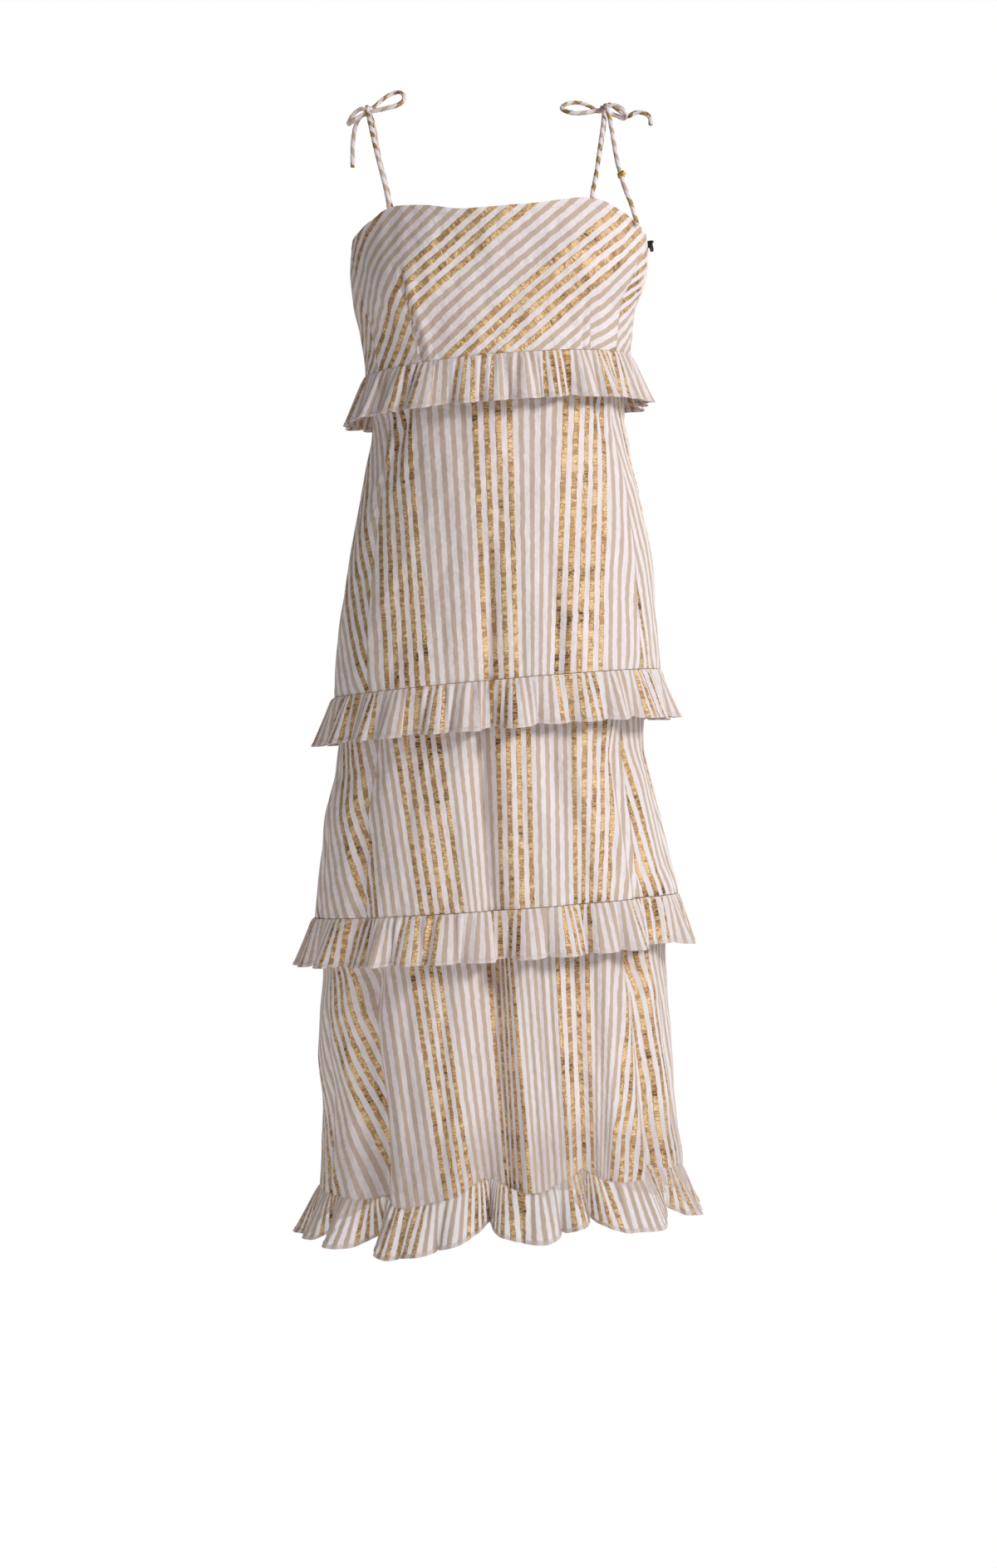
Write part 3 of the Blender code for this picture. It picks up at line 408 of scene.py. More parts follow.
LOOP_ROUTES = {
    "left": (
        (
            (-0.13, -0.002, 0.005), (-0.124, -0.0005, 0.0108), (-0.1159, 0.003, 0.0188),
            (-0.1075, 0.005, 0.024), (-0.1005, 0.003, 0.025), (-0.0956, -0.0015, 0.0205),
            (-0.0962, -0.006, 0.014), (-0.103, -0.0085, 0.009), (-0.113, -0.0085, 0.0062),
            (-0.1225, -0.007, 0.0045), (-0.13, -0.005, 0.0035),
        ),
        (
            (-0.133, -0.0045, 0.0045), (-0.1385, -0.0045, 0.0065), (-0.145, -0.002, 0.003),
            (-0.1505, 0.0005, -0.004), (-0.1515, -0.003, -0.0085), (-0.1465, -0.007, -0.006),
            (-0.1395, -0.008, -0.002), (-0.1335, -0.006, 0.0015),
        ),
    ),
    "right": (
        (
            (0.105, -0.001, 0.006), (0.0985, 0.003, 0.007), (0.093, 0.0055, 0.011), (0.086, 0.006, 0.014),
            (0.077, 0.005, 0.015), (0.068, 0.002, 0.0125), (0.064, -0.003, 0.0075),
            (0.069, -0.0075, 0.003), (0.078, -0.0095, 0.001), (0.088, -0.009, 0.0016),
            (0.097, -0.007, 0.0035), (0.105, -0.0045, 0.004),
        ),
        (
            (0.1085, -0.0045, 0.0065), (0.114, -0.0065, 0.0095), (0.12, -0.0065, 0.009),
            (0.1262, -0.0045, 0.005), (0.1288, -0.0005, 0.0005), (0.1262, 0.003, -0.0015),
            (0.12, 0.003, 0.001), (0.114, 0.0005, 0.0025), (0.1085, -0.002, 0.0035),
        ),
    ),
}

LAMPS = (
    Lamp("key_light", (2.4, -2.2, 0.9), 0.8, 72.0, (1.0, 0.985, 0.965)),
    Lamp("fill_light", (-2.0, -2.8, 0.1), 1.8, 1.2, (0.97, 0.97, 1.0)),
    Lamp("low_light", (-1.3, -1.0, -1.3), 0.7, 7.5, (1.0, 0.97, 0.94)),
    Lamp("back_light", (0.6, 2.7, 0.7), 2.0, 60.0, (1.0, 1.0, 1.0)),
)


class SmoothTable:
    """A smooth curve through a table's values that never overshoots them."""

    def __init__(self, places: Sequence[float], values: Sequence[float]) -> None:
        """Keep the table and the slope at each of its rows.

        Args:
            places: rising positions of the rows.
            values: the value at each position.
        """
        self.places, self.values = np.asarray(places, float), np.asarray(values, float)
        rise = np.diff(self.values) / np.diff(self.places)
        before, after = rise[:-1], rise[1:]
        same = before * after > 0.0
        total = np.where(same, before + after, 1.0)
        self.slopes = np.zeros_like(self.values)
        self.slopes[1:-1] = np.where(same, 2.0 * before * after / total, 0.0)

    def __call__(self, place: Array) -> Array:
        """Read the curve, which keeps its end values beyond the table.

        Args:
            place: one or more positions.

        Returns:
            The value at each.
        """
        at = np.clip(np.asarray(place, float), self.places[0], self.places[-1])
        index = np.clip(np.searchsorted(self.places, at, side="right") - 1, 0, len(self.places) - 2)
        span = self.places[index + 1] - self.places[index]
        share = (at - self.places[index]) / span
        square, cube = share ** 2, share ** 3
        return ((2.0 * cube - 3.0 * square + 1.0) * self.values[index]
                + (cube - 2.0 * square + share) * span * self.slopes[index]
                + (3.0 * square - 2.0 * cube) * self.values[index + 1]
                + (cube - square) * span * self.slopes[index + 1])


def smooth_step(share: Array) -> Array:
    """0 to 1 with level ends."""
    share = np.clip(share, 0.0, 1.0)
    return share * share * (3.0 - 2.0 * share)


def bell(distance: Array) -> Array:
    """Rounded bump: 1 at its middle, 0 from a distance of 1 outwards."""
    inside = np.abs(distance) < 1.0
    return np.where(inside, (0.5 + 0.5 * np.cos(np.pi * np.clip(distance, -1.0, 1.0))) ** 1.2, 0.0)


def turn_between(azimuth: Array, centre: Array) -> Array:
    """Signed turn from a centre to an azimuth, between -180 and 180."""
    return (azimuth - centre + 180.0) % 360.0 - 180.0


def path_lengths(path: Array) -> Array:
    """Distance along a path, from its first point."""
    return np.concatenate(([0.0], np.cumsum(np.linalg.norm(np.diff(path, axis=0), axis=1))))


def arc_lengths(points: Array) -> Array:
    """Distance along each row of a grid of points, from its first column."""
    steps = np.linalg.norm(np.diff(points, axis=1), axis=-1)
    return np.concatenate((np.zeros((points.shape[0], 1)), np.cumsum(steps, axis=1)), axis=1)


@dataclass
class WornForm:
    """The surface that all the cloth lies on while the dress is worn."""

    sections: tuple[Section, ...] = SECTIONS
    folds: tuple[Fold, ...] = FOLDS
    bust: tuple[Fullness, ...] = BUST
    creases: tuple[Crease, ...] = CREASES
    degree: float = 0.00262
    unevenness: float = 0.0011
    fold_fade: float = 0.040
    scallop_top: float = 0.83
    pucker_height: float = 0.00035
    tables: dict[str, SmoothTable] = field(default_factory=dict)

    def __post_init__(self) -> None:
        """Make the smooth tables."""
        columns = {name: (self.sections, number) for number, name in enumerate(Section._fields) if number}
        columns |= {"scallops": (SCALLOPS, 1), "top_edge": (TOP_EDGE, 1), "left": (SIDE_SEAMS, 1),
                    "right": (SIDE_SEAMS, 2)}
        for name, (rows, number) in columns.items():
            self.tables[name] = SmoothTable([row[0] for row in rows], [row[number] for row in rows])

    def relief(self, azimuth: Array, drop: Array) -> tuple[Array, Array]:
        """The large folds and the bust.

        Args:
            azimuth: azimuths on the cloth.
            drop: drops on the cloth.

        Returns:
            How far the cloth lies inside its plain section, and how far it is lifted.
        """
        inward, lift = np.zeros_like(drop), np.zeros_like(drop)
        for fold in self.folds:
            along = np.clip((drop - fold.top) / (fold.low - fold.top), 0.0, 1.0)
            centre = fold.azimuth_top + (fold.azimuth_low - fold.azimuth_top) * along
            across = bell(turn_between(azimuth, centre) / fold.half_width)
            fade = smooth_step((drop - fold.top + self.fold_fade) / self.fold_fade)
            fade = fade * smooth_step((fold.low + self.fold_fade - drop) / self.fold_fade)
            depth = fold.depth_top + (fold.depth_low - fold.depth_top) * along
            inward += depth * across * fade
            lift += fold.lift * depth * across * fade * smooth_step(along)
        for form in self.bust:
            across = bell(turn_between(azimuth, form.azimuth) / form.half_width)
            inward -= form.out * across * bell((drop - form.drop) / form.half_drop)
        return inward, lift

    def fine_relief(self, azimuth: Array, drop: Array) -> Array:
        """The small creases and the slight unevenness of light cloth.

        Args:
            azimuth: azimuths on the cloth.
            drop: drops on the cloth.

        Returns:
            How far the cloth lies further inside.
        """
        inward = np.zeros_like(drop)
        for crease in self.creases:
            width = self.degree * turn_between(azimuth, crease.azimuth)
            height = drop - crease.drop
            run = self.degree * (crease.azimuth_end - crease.azimuth)
            fall = crease.drop_end - crease.drop
            length = math.hypot(run, fall)
            away = (width * fall - height * run) / length
            share = (width * run + height * fall) / length / length
            taper = smooth_step((share + 0.08) / 0.30) * smooth_step((1.12 - share) / 0.34)
            inward += crease.depth * taper * np.exp(-(away / crease.width) ** 2)
        turn = np.radians(azimuth)
        slow = np.sin(7.0 * turn + 9.0 * drop) * np.sin(31.0 * drop + 2.0 * turn)
        slow += 0.7 * np.sin(13.0 * turn - 17.0 * drop + 1.3) * np.sin(47.0 * drop + 0.8)
        slow += 0.45 * np.sin(29.0 * turn + 23.0 * drop) * np.sin(71.0 * drop - 3.0 * turn)
        return inward + self.unevenness * slow

    def puckers(self, azimuth: Array, distance: Array, reach: float) -> Array:
        """Tiny tucks that sewing leaves beside a seam.

        Args:
            azimuth: azimuths on the cloth.
            distance: distances from the seam.
            reach: distance in which they die away.

        Returns:
            Outward movement of the cloth.
        """
        turn = np.radians(azimuth)
        wave = np.sin(96.0 * turn + 2.2 * np.sin(11.0 * turn))
        wave = wave + 0.6 * np.sin(151.0 * turn + 1.7 * np.sin(17.0 * turn))
        patch = 0.65 + 0.35 * np.sin(9.0 * turn + 1.1)
        return self.pucker_height * wave * patch * np.exp(-np.abs(distance) / reach)

    def point(self, azimuth: Array, drop: Array, out: Array | float = 0.0, fine: bool = True) -> Array:
        """Points on the cloth.

        Args:
            azimuth: azimuths on the cloth.
            drop: drops below the shoulders.
            out: distance outwards across the plain section.
            fine: whether the small creases count.

        Returns:
            An array of points, one more dimension than the azimuths.
        """
        azimuth, drop = np.broadcast_arrays(np.asarray(azimuth, float), np.asarray(drop, float))
        half_width = self.tables["half_width"](drop)
        turn = np.radians(azimuth)
        depth = np.where(np.cos(turn) > 0.0, self.tables["front"](drop), self.tables["back"](drop))
        across = half_width * np.sin(turn)
        normal_x = np.sin(turn) / half_width
        normal_y = -np.cos(turn) / depth
        length = np.hypot(normal_x, normal_y)
        inward, lift = self.relief(azimuth, drop)
        if fine:
            inward = inward + self.fine_relief(azimuth, drop)
        move = out - inward
        sag = MM * self.tables["scallops"]((azimuth + 90.0) % 360.0 - 90.0)
        lift = lift - sag * smooth_step((drop - self.scallop_top) / (HEM_SEAM - self.scallop_top)) ** 1.5
        return np.stack((
            across + normal_x / length * move + self.tables["shift"](drop),
            -depth * np.cos(turn) + normal_y / length * move,
            -drop + self.tables["tilt"](drop) * across + lift,
        ), axis=-1)

    def seams(self, side: Side, drop: Array) -> tuple[Array, Array]:
        """Azimuths of a half's two side seams, clear of them by half a gap.

        Args:
            side: front or back.
            drop: drops on the seams.

        Returns:
            The azimuths where the half starts and ends.
        """
        left, right = self.tables["left"](drop), self.tables["right"](drop)
        gap = np.degrees(0.5 * SEAM_GAP / self.tables["front"](drop))
        if side is Side.FRONT:
            return left + gap, right - gap
        return right + gap, left + 360.0 - gap

    def between(self, side: Side, drop: Array, share: Array) -> Array:
        """Azimuth at a share of the way round a half of the dress."""
        start, end = self.seams(side, drop)
        return start + (end - start) * share

    def top_edge(self, azimuth: Array) -> Array:
        """Drop of the bodice's top edge."""
        return self.tables["top_edge"]((np.asarray(azimuth) + 180.0) % 360.0 - 180.0)


class Wires:
    """Short forms for building a node tree."""

    def __init__(self, tree: Tree) -> None:
        """Keep the tree."""
        self.tree = tree

    def add(self, kind: str, sockets: dict | None = None, **settings: object) -> Node:
        """Add a node.

        Args:
            kind: the node's type.
            sockets: what feeds its inputs, by name or number.
            settings: its properties.

        Returns:
            The node.
        """
        node = self.tree.nodes.new(kind)
        for name, value in settings.items():
            setattr(node, name, value)
        self.fill(node, sockets or {})
        return node

    def fill(self, node: Node, sockets: dict) -> None:
        """Link a node's inputs, or set their own values.

        Args:
            node: the node.
            sockets: a socket or a value for each input, by name or number.
        """
        for name, value in sockets.items():
            if isinstance(value, Socket):
                self.tree.links.new(value, node.inputs[name])
            else:
                node.inputs[name].default_value = value

    def math(self, operation: str, *values: object) -> Socket:
        """Add a Math node and return its result."""
        return self.add("ShaderNodeMath", dict(enumerate(values)), operation=operation).outputs[0]

    def times(self, first: object, second: object) -> Socket:
        """Multiply two values."""
        return self.math("MULTIPLY", first, second)

    def blend(self, share: object, first: object, second: object) -> Socket:
        """Mix two colours and return the result."""
        return self.add("ShaderNodeMix", {0: share, 6: first, 7: second}, data_type="RGBA").outputs[2]

    def remap(self, *values: object) -> Socket:
        """Map a range smoothly onto another, 0 to 1 unless it is given, and return the result."""
        node = self.add("ShaderNodeMapRange", dict(enumerate(values)), interpolation_type="SMOOTHSTEP")
        return node.outputs[0]

    def point(self, *values: object) -> Socket:
        """Combine values into a vector."""
        return self.add("ShaderNodeCombineXYZ", dict(enumerate(values))).outputs[0]

    def noise(self, at: Socket, scale: float, detail: float, dimensions: str = "2D") -> Socket:
        """Add a noise texture and return its value."""
        return self.add("ShaderNodeTexNoise", {"Vector": at, "Scale": scale, "Detail": detail},
                        noise_dimensions=dimensions).outputs[0]

    def bump(self, height: Socket, strength: float, distance: float) -> Socket:
        """Add a bump and return its normal."""
        return self.add("ShaderNodeBump", {"Strength": strength, "Distance": distance,
                                           "Height": height}).outputs[0]

    def join(self, share: object, first: Node, second: Node) -> Node:
        """Mix two shaders and return the mixing node."""
        return self.add("ShaderNodeMixShader", {0: share, 1: first.outputs[0], 2: second.outputs[0]})

    def group(self, tree: Tree, **sockets: object) -> bpy.types.bpy_prop_collection:
        """Place a shared group, feed its inputs and return its outputs."""
        return self.add("ShaderNodeGroup", sockets, node_tree=tree).outputs


def sockets_of(kind: str, *labels: str) -> dict[str, str]:
    """The same socket type for several names."""
    return dict.fromkeys(labels, f"NodeSocket{kind}")


def new_group(name: str, inputs: dict[str, str], outputs: dict[str, str],
              tree: str = "ShaderNodeTree") -> tuple[Wires, dict[str, Socket], Node]:
    """Start a node group.

    Args:
        name: the group's name.
        inputs: socket type of each input.
        outputs: socket type of each output.
        tree: the kind of tree.

    Returns:
        The group's wires, its input sockets by name, and its output node.
    """
    group = bpy.data.node_groups.new(name, tree)
    for way, sockets in (("INPUT", inputs), ("OUTPUT", outputs)):
        for label, kind in sockets.items():
            group.interface.new_socket(name=label, in_out=way, socket_type=kind)
    wires = Wires(group)
    start = wires.add("NodeGroupInput")
    return wires, {socket.name: socket for socket in start.outputs}, wires.add("NodeGroupOutput")


def new_material(name: str) -> tuple[Material, Wires, Node]:
    """Start a material and return it with its wires and its shader."""
    material = bpy.data.materials.new(name)
    material.use_nodes = True
    return material, Wires(material.node_tree), material.node_tree.nodes["Principled BSDF"]


def place_object(name: str, data: bpy.types.ID, material: Material | None = None) -> Piece:
    """Link a new object to the scene.

    Args:
        name: the object's name.
        data: its mesh, curve, camera or light.
        material: what a mesh is made of.

    Returns:
        The object, at the origin.
    """
    piece = bpy.data.objects.new(name, data)
    bpy.context.scene.collection.objects.link(piece)
    if material:
        data.materials.append(material)
    return piece


def mesh_of(name: str, shape: bmesh.types.BMesh, smooth: bool = False) -> bpy.types.Mesh:
    """Write a shape to a new mesh and free it.

    Args:
        name: the mesh's name.
        shape: the shape.
        smooth: whether its faces are shaded smooth.

    Returns:
        The mesh.
    """
    mesh = bpy.data.meshes.new(name)
    shape.to_mesh(mesh)
    shape.free()
    if smooth:
        mesh.shade_smooth()
    return mesh


def stand_in(piece: Piece, node: str, body: str = BODY) -> None:
    """Put a piece on its body in place of a solid, and hide the solid."""
    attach(piece, body)
    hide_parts(node)


@dataclass(frozen=True)
class SharedEffects:
    """Node groups that more than one finish uses."""

    stripes: Tree
    foil: Tree
    weave: Tree

    @classmethod
    def build(cls) -> "SharedEffects":
        """Build the three groups once."""
        return cls(cls.stripe_group(), cls.foil_group(), cls.weave_group())

    @staticmethod
    def stripe_group() -> Tree:
        """Masks of the stripe repeat: five gold, five taupe, four gold, four taupe.

        Returns:
            A group from distances across and along the cloth to masks.
        """
        waver_reach, width, edge = 0.0021, 0.475, 0.055
        repeat, first_end, second_start, second_end = 18.0, 5.0, 10.0, 14.0
        wires, source, end = new_group("stripe_repeat", sockets_of("Float", "Across", "Along", "Pitch"),
                                       sockets_of("Float", "Stripe", "Gold"))
        across = source["Across"]
        waver = wires.noise(wires.point(wires.times(across, 70.0), wires.times(source["Along"], 130.0)),
                            1.0, 2.5)
        shifted = wires.math("MULTIPLY_ADD", wires.math("SUBTRACT", waver, 0.5), waver_reach, across)
        place = wires.math("DIVIDE", shifted, source["Pitch"])
        part = wires.math("FRACT", place)
        stripe = wires.times(wires.remap(part, 0.0, edge), wires.remap(part, width, width + edge, 1.0, 0.0))
        number = wires.math("FLOORED_MODULO", wires.math("ADD", wires.math("FLOOR", place), 0.5), repeat)
        five = wires.math("LESS_THAN", number, first_end)
        four = wires.times(wires.math("GREATER_THAN", number, second_start),
                           wires.math("LESS_THAN", number, second_end))
        wires.fill(end, {"Stripe": stripe, "Gold": wires.times(stripe, wires.math("ADD", five, four))})
        return wires.tree

    @staticmethod
    def foil_group() -> Tree:
        """Colour and height of crinkled gold foil in short blocks along a stripe, its colour carrying painted
        glints and painted shade of the crinkles.

        Returns:
            A group from distances across and along the cloth to a colour, a height and a glint mask.
        """
        stretch, scatter, patch_gain, base_value = 2.6, 0.85, 2.2, 0.22
        cell_share, fine_share, patch_share, crinkle_glint_share = 0.44, 0.24, 0.86, 0.42
        wires, source, end = new_group(
            "crinkled_foil",
            sockets_of("Float", "Across", "Along", "Block") | sockets_of("Color", "Light", "Middle", "Dark"),
            sockets_of("Color", "Color") | sockets_of("Float", "Height", "Glint"))
        at = wires.point(wires.math("DIVIDE", source["Across"], wires.times(source["Block"], stretch)),
                         wires.math("DIVIDE", source["Along"], source["Block"]))
        cells, cracks = (
            wires.add("ShaderNodeTexVoronoi", {"Vector": at, "Scale": 1.0, "Randomness": scatter},
                      voronoi_dimensions="2D", feature=feature)
            for feature in ("F1", "DISTANCE_TO_EDGE"))
        shade = wires.add("ShaderNodeSeparateColor", {0: cells.outputs["Color"]}).outputs
        fine = wires.noise(at, 2.6, 3.0)
        patch = wires.times(wires.math("SUBTRACT", wires.noise(at, 0.13, 2.0), 0.5), patch_gain)
        crack = wires.math("SUBTRACT", 1.0, wires.remap(cracks.outputs["Distance"], 0.02, 0.16))
        # Painted highlights and painted shade along the crinkle edges: lighter lines on dark patches, darker
        # lines on light ones.
        line = wires.times(crack, wires.remap(patch, -0.25, 0.25, crinkle_glint_share, -crinkle_glint_share))
        # Random cells, noise and patches set the foil colour: partly the foil's own uneven tone, partly
        # painted glints and painted shade of the crinkles.
        value = wires.math("MULTIPLY_ADD", shade[0], cell_share, wires.times(fine, fine_share))
        value = wires.math("MULTIPLY_ADD", patch, patch_share, value)
        value = wires.math("ADD", value, wires.math("ADD", line, base_value))
        low = wires.blend(wires.remap(value, 0.0, 0.34), source["Dark"], source["Middle"])
        wires.fill(end, {"Color": wires.blend(wires.remap(value, 0.42, 0.78), low, source["Light"]),
                         "Height": wires.math("ADD", shade[1], fine),
                         "Glint": wires.remap(value, 0.35, 0.8)})
        return wires.tree

    @staticmethod
    def weave_group() -> Tree:
        """Height of a fine plain weave with soft crumples, and a slubby shade.

        Returns:
            A group from distances across and along the cloth to a height and a shade.
        """
        thread_height = 0.00005
        wires, source, end = new_group("plain_weave",
                                       sockets_of("Float", "Across", "Along", "Thread", "Crumple"),
                                       sockets_of("Float", "Height", "Shade"))
        across, along = source["Across"], source["Along"]
        warp, weft = (wires.math("SINE", wires.math("DIVIDE", wires.times(way, math.tau), source["Thread"]))
                      for way in (across, along))
        crumples = wires.noise(wires.point(across, wires.times(along, 1.4)), 80.0, 3.0)
        slubs = wires.noise(wires.point(wires.times(across, 700.0), wires.times(along, 60.0)), 1.0, 2.0)
        rough = wires.times(crumples, source["Crumple"])
        height = wires.math("MULTIPLY_ADD", wires.times(warp, weft), thread_height, rough)
        wires.fill(end, {"Height": height, "Shade": slubs})
        return wires.tree


def colour(*parts: int) -> tuple[float, ...]:
    """Linear colour of a matched screen colour."""
    shares = [part / 255.0 for part in parts]
    linear = [share / 12.92 if share <= 0.04045 else ((share + 0.055) / 1.055) ** 2.4 for share in shares]
    return (*linear, 1.0)


@dataclass(frozen=True)
class StripedCloth:
    """Light crisp cloth with taupe and crinkled gold stripes."""

    name: str
    effects: SharedEffects
    ground: tuple = colour(236, 227, 230)
    taupe: tuple = colour(194, 172, 153)
    # The gold colours run from painted glint to painted shade of the crinkled foil, over the foil's own
    # gold-brown tone.
    gold_light: tuple = colour(234, 198, 148)
    gold_middle: tuple = colour(184, 144, 96)
    gold_dark: tuple = colour(104, 78, 52)
    hem_shade: tuple = colour(205, 192, 190)
    block: float = 0.0030
    thread: float = 0.00055
    cover: float = 1.0
    stripe_cover: float = 1.0
    crumple: float = 0.0027
    plain_roughness: float = 0.86
    gold_roughness: float = 0.46
    glint_polish: float = 0.10
    gold_metal: float = 0.55
    foil_height: float = 0.0011
    taupe_share: float = 0.92
    slub_share: float = 0.25
    hem_share: float = 0.35
    hem_cover: float = 0.9

    def build(self) -> Material:
        """Build the material, which reads the piece's own flat cloth coordinates.

        Returns:
            The finished material.
        """
        material, wires, shader = new_material(self.name)
        flat = wires.add("ShaderNodeUVMap", uv_map="flat")
        parts = wires.add("ShaderNodeSeparateXYZ", {0: flat.outputs[0]}).outputs
        place = {"Across": parts[0], "Along": parts[1]}
        stripes = wires.group(self.effects.stripes, **place, Pitch=PITCH)
        foil = wires.group(self.effects.foil, **place, Block=self.block, Light=self.gold_light,
                           Middle=self.gold_middle, Dark=self.gold_dark)
        weave = wires.group(self.effects.weave, **place, Thread=self.thread, Crumple=self.crumple)
        gold, hem = stripes["Gold"], wires.add("ShaderNodeAttribute", attribute_name="hem").outputs["Fac"]
        slubs = wires.remap(weave["Shade"], 0.2, 0.8, 0.0, self.slub_share)
        base = wires.blend(slubs, self.ground, self.taupe)
        base = wires.blend(wires.times(stripes["Stripe"], self.taupe_share), base, self.taupe)
        base = wires.blend(gold, base, foil["Color"])
        glossy = wires.math("MULTIPLY_ADD", foil["Glint"], -self.glint_polish, self.gold_roughness)
        gap = wires.times(gold, wires.math("SUBTRACT", glossy, self.plain_roughness))
        crinkle = wires.times(gold, foil["Height"])
        height = wires.math("MULTIPLY_ADD", crinkle, self.foil_height, weave["Height"])
        wires.fill(shader, {
            "Base Color": wires.blend(wires.times(hem, self.hem_share), base, self.hem_shade),
            "Metallic": wires.times(gold, self.gold_metal),
            "Roughness": wires.math("ADD", gap, self.plain_roughness),
            "Sheen Weight": 0.12, "Sheen Roughness": 0.5, "Specular IOR Level": 0.3,
            "Normal": wires.bump(height, 0.75, 1.0)})
        if self.cover < 1.0:
            sheer = wires.add("ShaderNodeAttribute", attribute_name="sheer").outputs["Fac"]
            cover = wires.remap(stripes["Stripe"], 0.0, 1.0, self.cover, self.stripe_cover)
            cover = wires.math("MAXIMUM", cover, wires.times(hem, self.hem_cover))
            lack = wires.times(sheer, wires.math("SUBTRACT", 1.0, cover))
            wires.fill(shader, {"Alpha": wires.math("SUBTRACT", 1.0, lack)})
        return material


@dataclass(frozen=True)
class PlainFinish:
    """A finish of one colour with a fine grain, for metal, enamel and thread."""

    name: str
    base: tuple
    worn: tuple
    roughness: float
    metallic: float
    grain: float
    coat: float = 0.0

    def build(self) -> Material:
        """Build the material, which reads Object coordinates.

        Returns:
            The finished material.
        """
        material, wires, shader = new_material(self.name)
        place = wires.add("ShaderNodeTexCoord").outputs["Object"]
        noise = wires.noise(place, self.grain, 4.0, "3D")
        share = wires.remap(noise, 0.35, 0.75)
        wires.fill(shader, {
            "Base Color": wires.blend(share, self.base, self.worn), "Metallic": self.metallic,
            "Roughness": wires.math("MULTIPLY_ADD", share, 0.12, self.roughness),
            "Coat Weight": self.coat, "Normal": wires.bump(noise, 0.2, 0.0002)})
        return material


@dataclass(frozen=True)
class Finishes:
    """Every material of the dress."""

    cloth: Material
    tie: Material
    gold: Material
    enamel: Material
    thread: Material

    @classmethod
    def build(cls) -> "Finishes":
        """Build them all once.

        Returns:
            The finishes.
        """
        effects = SharedEffects.build()
        # The ties use the dress cloth with darker gold colours: painted shade of the shaded straps.
        tie = StripedCloth("rouleau_cloth", effects, gold_light=colour(205, 165, 105),
                           gold_middle=colour(160, 124, 74), gold_dark=colour(96, 72, 48), crumple=0.0004)
        gold = PlainFinish("polished_gold", colour(244, 196, 92), colour(226, 170, 66), 0.16, 1.0, 900.0)
        enamel = PlainFinish("dark_enamel_gloss", colour(20, 9, 13), colour(34, 17, 21), 0.42, 0.0, 1200.0,
                             coat=0.15)
        thread = PlainFinish("pale_thread", colour(226, 216, 210), colour(205, 194, 188), 0.7, 0.0, 2500.0)
        cloth = StripedCloth("striped_cloth_worn", effects, cover=0.50, stripe_cover=0.86)
        return cls(*(finish.build() for finish in (cloth, tie, gold, enamel, thread)))


@dataclass
class ClothShell:
    """A thin closed shell of cloth through a grid of points, rows from its top edge down."""

    name: str
    points: Array
    cut: Array
    flat: Array
    thickness: Array
    hem: Array
    sheer: Array

    def normals(self) -> Array:
        """Outward unit normals at the grid's points."""
        normal = np.cross(np.gradient(self.points, axis=0), np.gradient(self.points, axis=1))
        return normal / np.maximum(np.linalg.norm(normal, axis=-1, keepdims=True), 1e-12)

    def sewing_line(self, row: int) -> Array:
        """A row of the cloth's outer face, raised for stitches."""
        return self.points[row] + self.normals()[row] * (0.5 * CLOTH + STITCH_LIFT)

    def build(self, material: Material) -> Piece:
        """Make the mesh object.

        Args:
            material: the cloth's material.

        Returns:
            The shell, with its flat coordinates in the UV map "flat" and its hem in "hem".
        """
        offset = 0.5 * self.thickness[..., None] * self.normals()
        verts = np.concatenate(((self.points + offset).reshape(-1, 3), (self.points - offset).reshape(-1, 3)))
        rows, columns = self.points.shape[:2]
        count = rows * columns
        grid = np.arange(count).reshape(rows, columns)
        a, b, c, d = grid[:-1, :-1], grid[1:, :-1], grid[1:, 1:], grid[:-1, 1:]
        faces = [np.stack((a, b, c, d), axis=-1).reshape(-1, 4),
                 np.stack((a, d, c, b), axis=-1).reshape(-1, 4) + count]
        for line, flip in ((grid[0], False), (grid[-1], True), (grid[:, 0], True), (grid[:, -1], False)):
            near, far = (line[1:], line[:-1]) if flip else (line[:-1], line[1:])
            faces.append(np.stack((near, far, far + count, near + count), axis=-1))
        faces = np.concatenate(faces)
        mesh = bpy.data.meshes.new(self.name)
        mesh.from_pydata(verts.tolist(), [], faces.tolist())
        layer = mesh.uv_layers.new(name="flat")
        flat = np.concatenate((self.flat.reshape(-1, 2), self.flat.reshape(-1, 2)))
        layer.data.foreach_set("uv", flat[faces.ravel()].astype(np.float32).ravel())
        for label, values in (("hem", self.hem), ("sheer", self.sheer)):
            mark = mesh.attributes.new(label, "FLOAT", "POINT")
            mark.data.foreach_set("value", np.tile(values.ravel(), 2).astype(np.float32))
        mesh.update()
        mesh.shade_smooth()
        mesh.set_sharp_from_angle(angle=math.radians(75.0))
        return place_object(self.name, mesh, material)


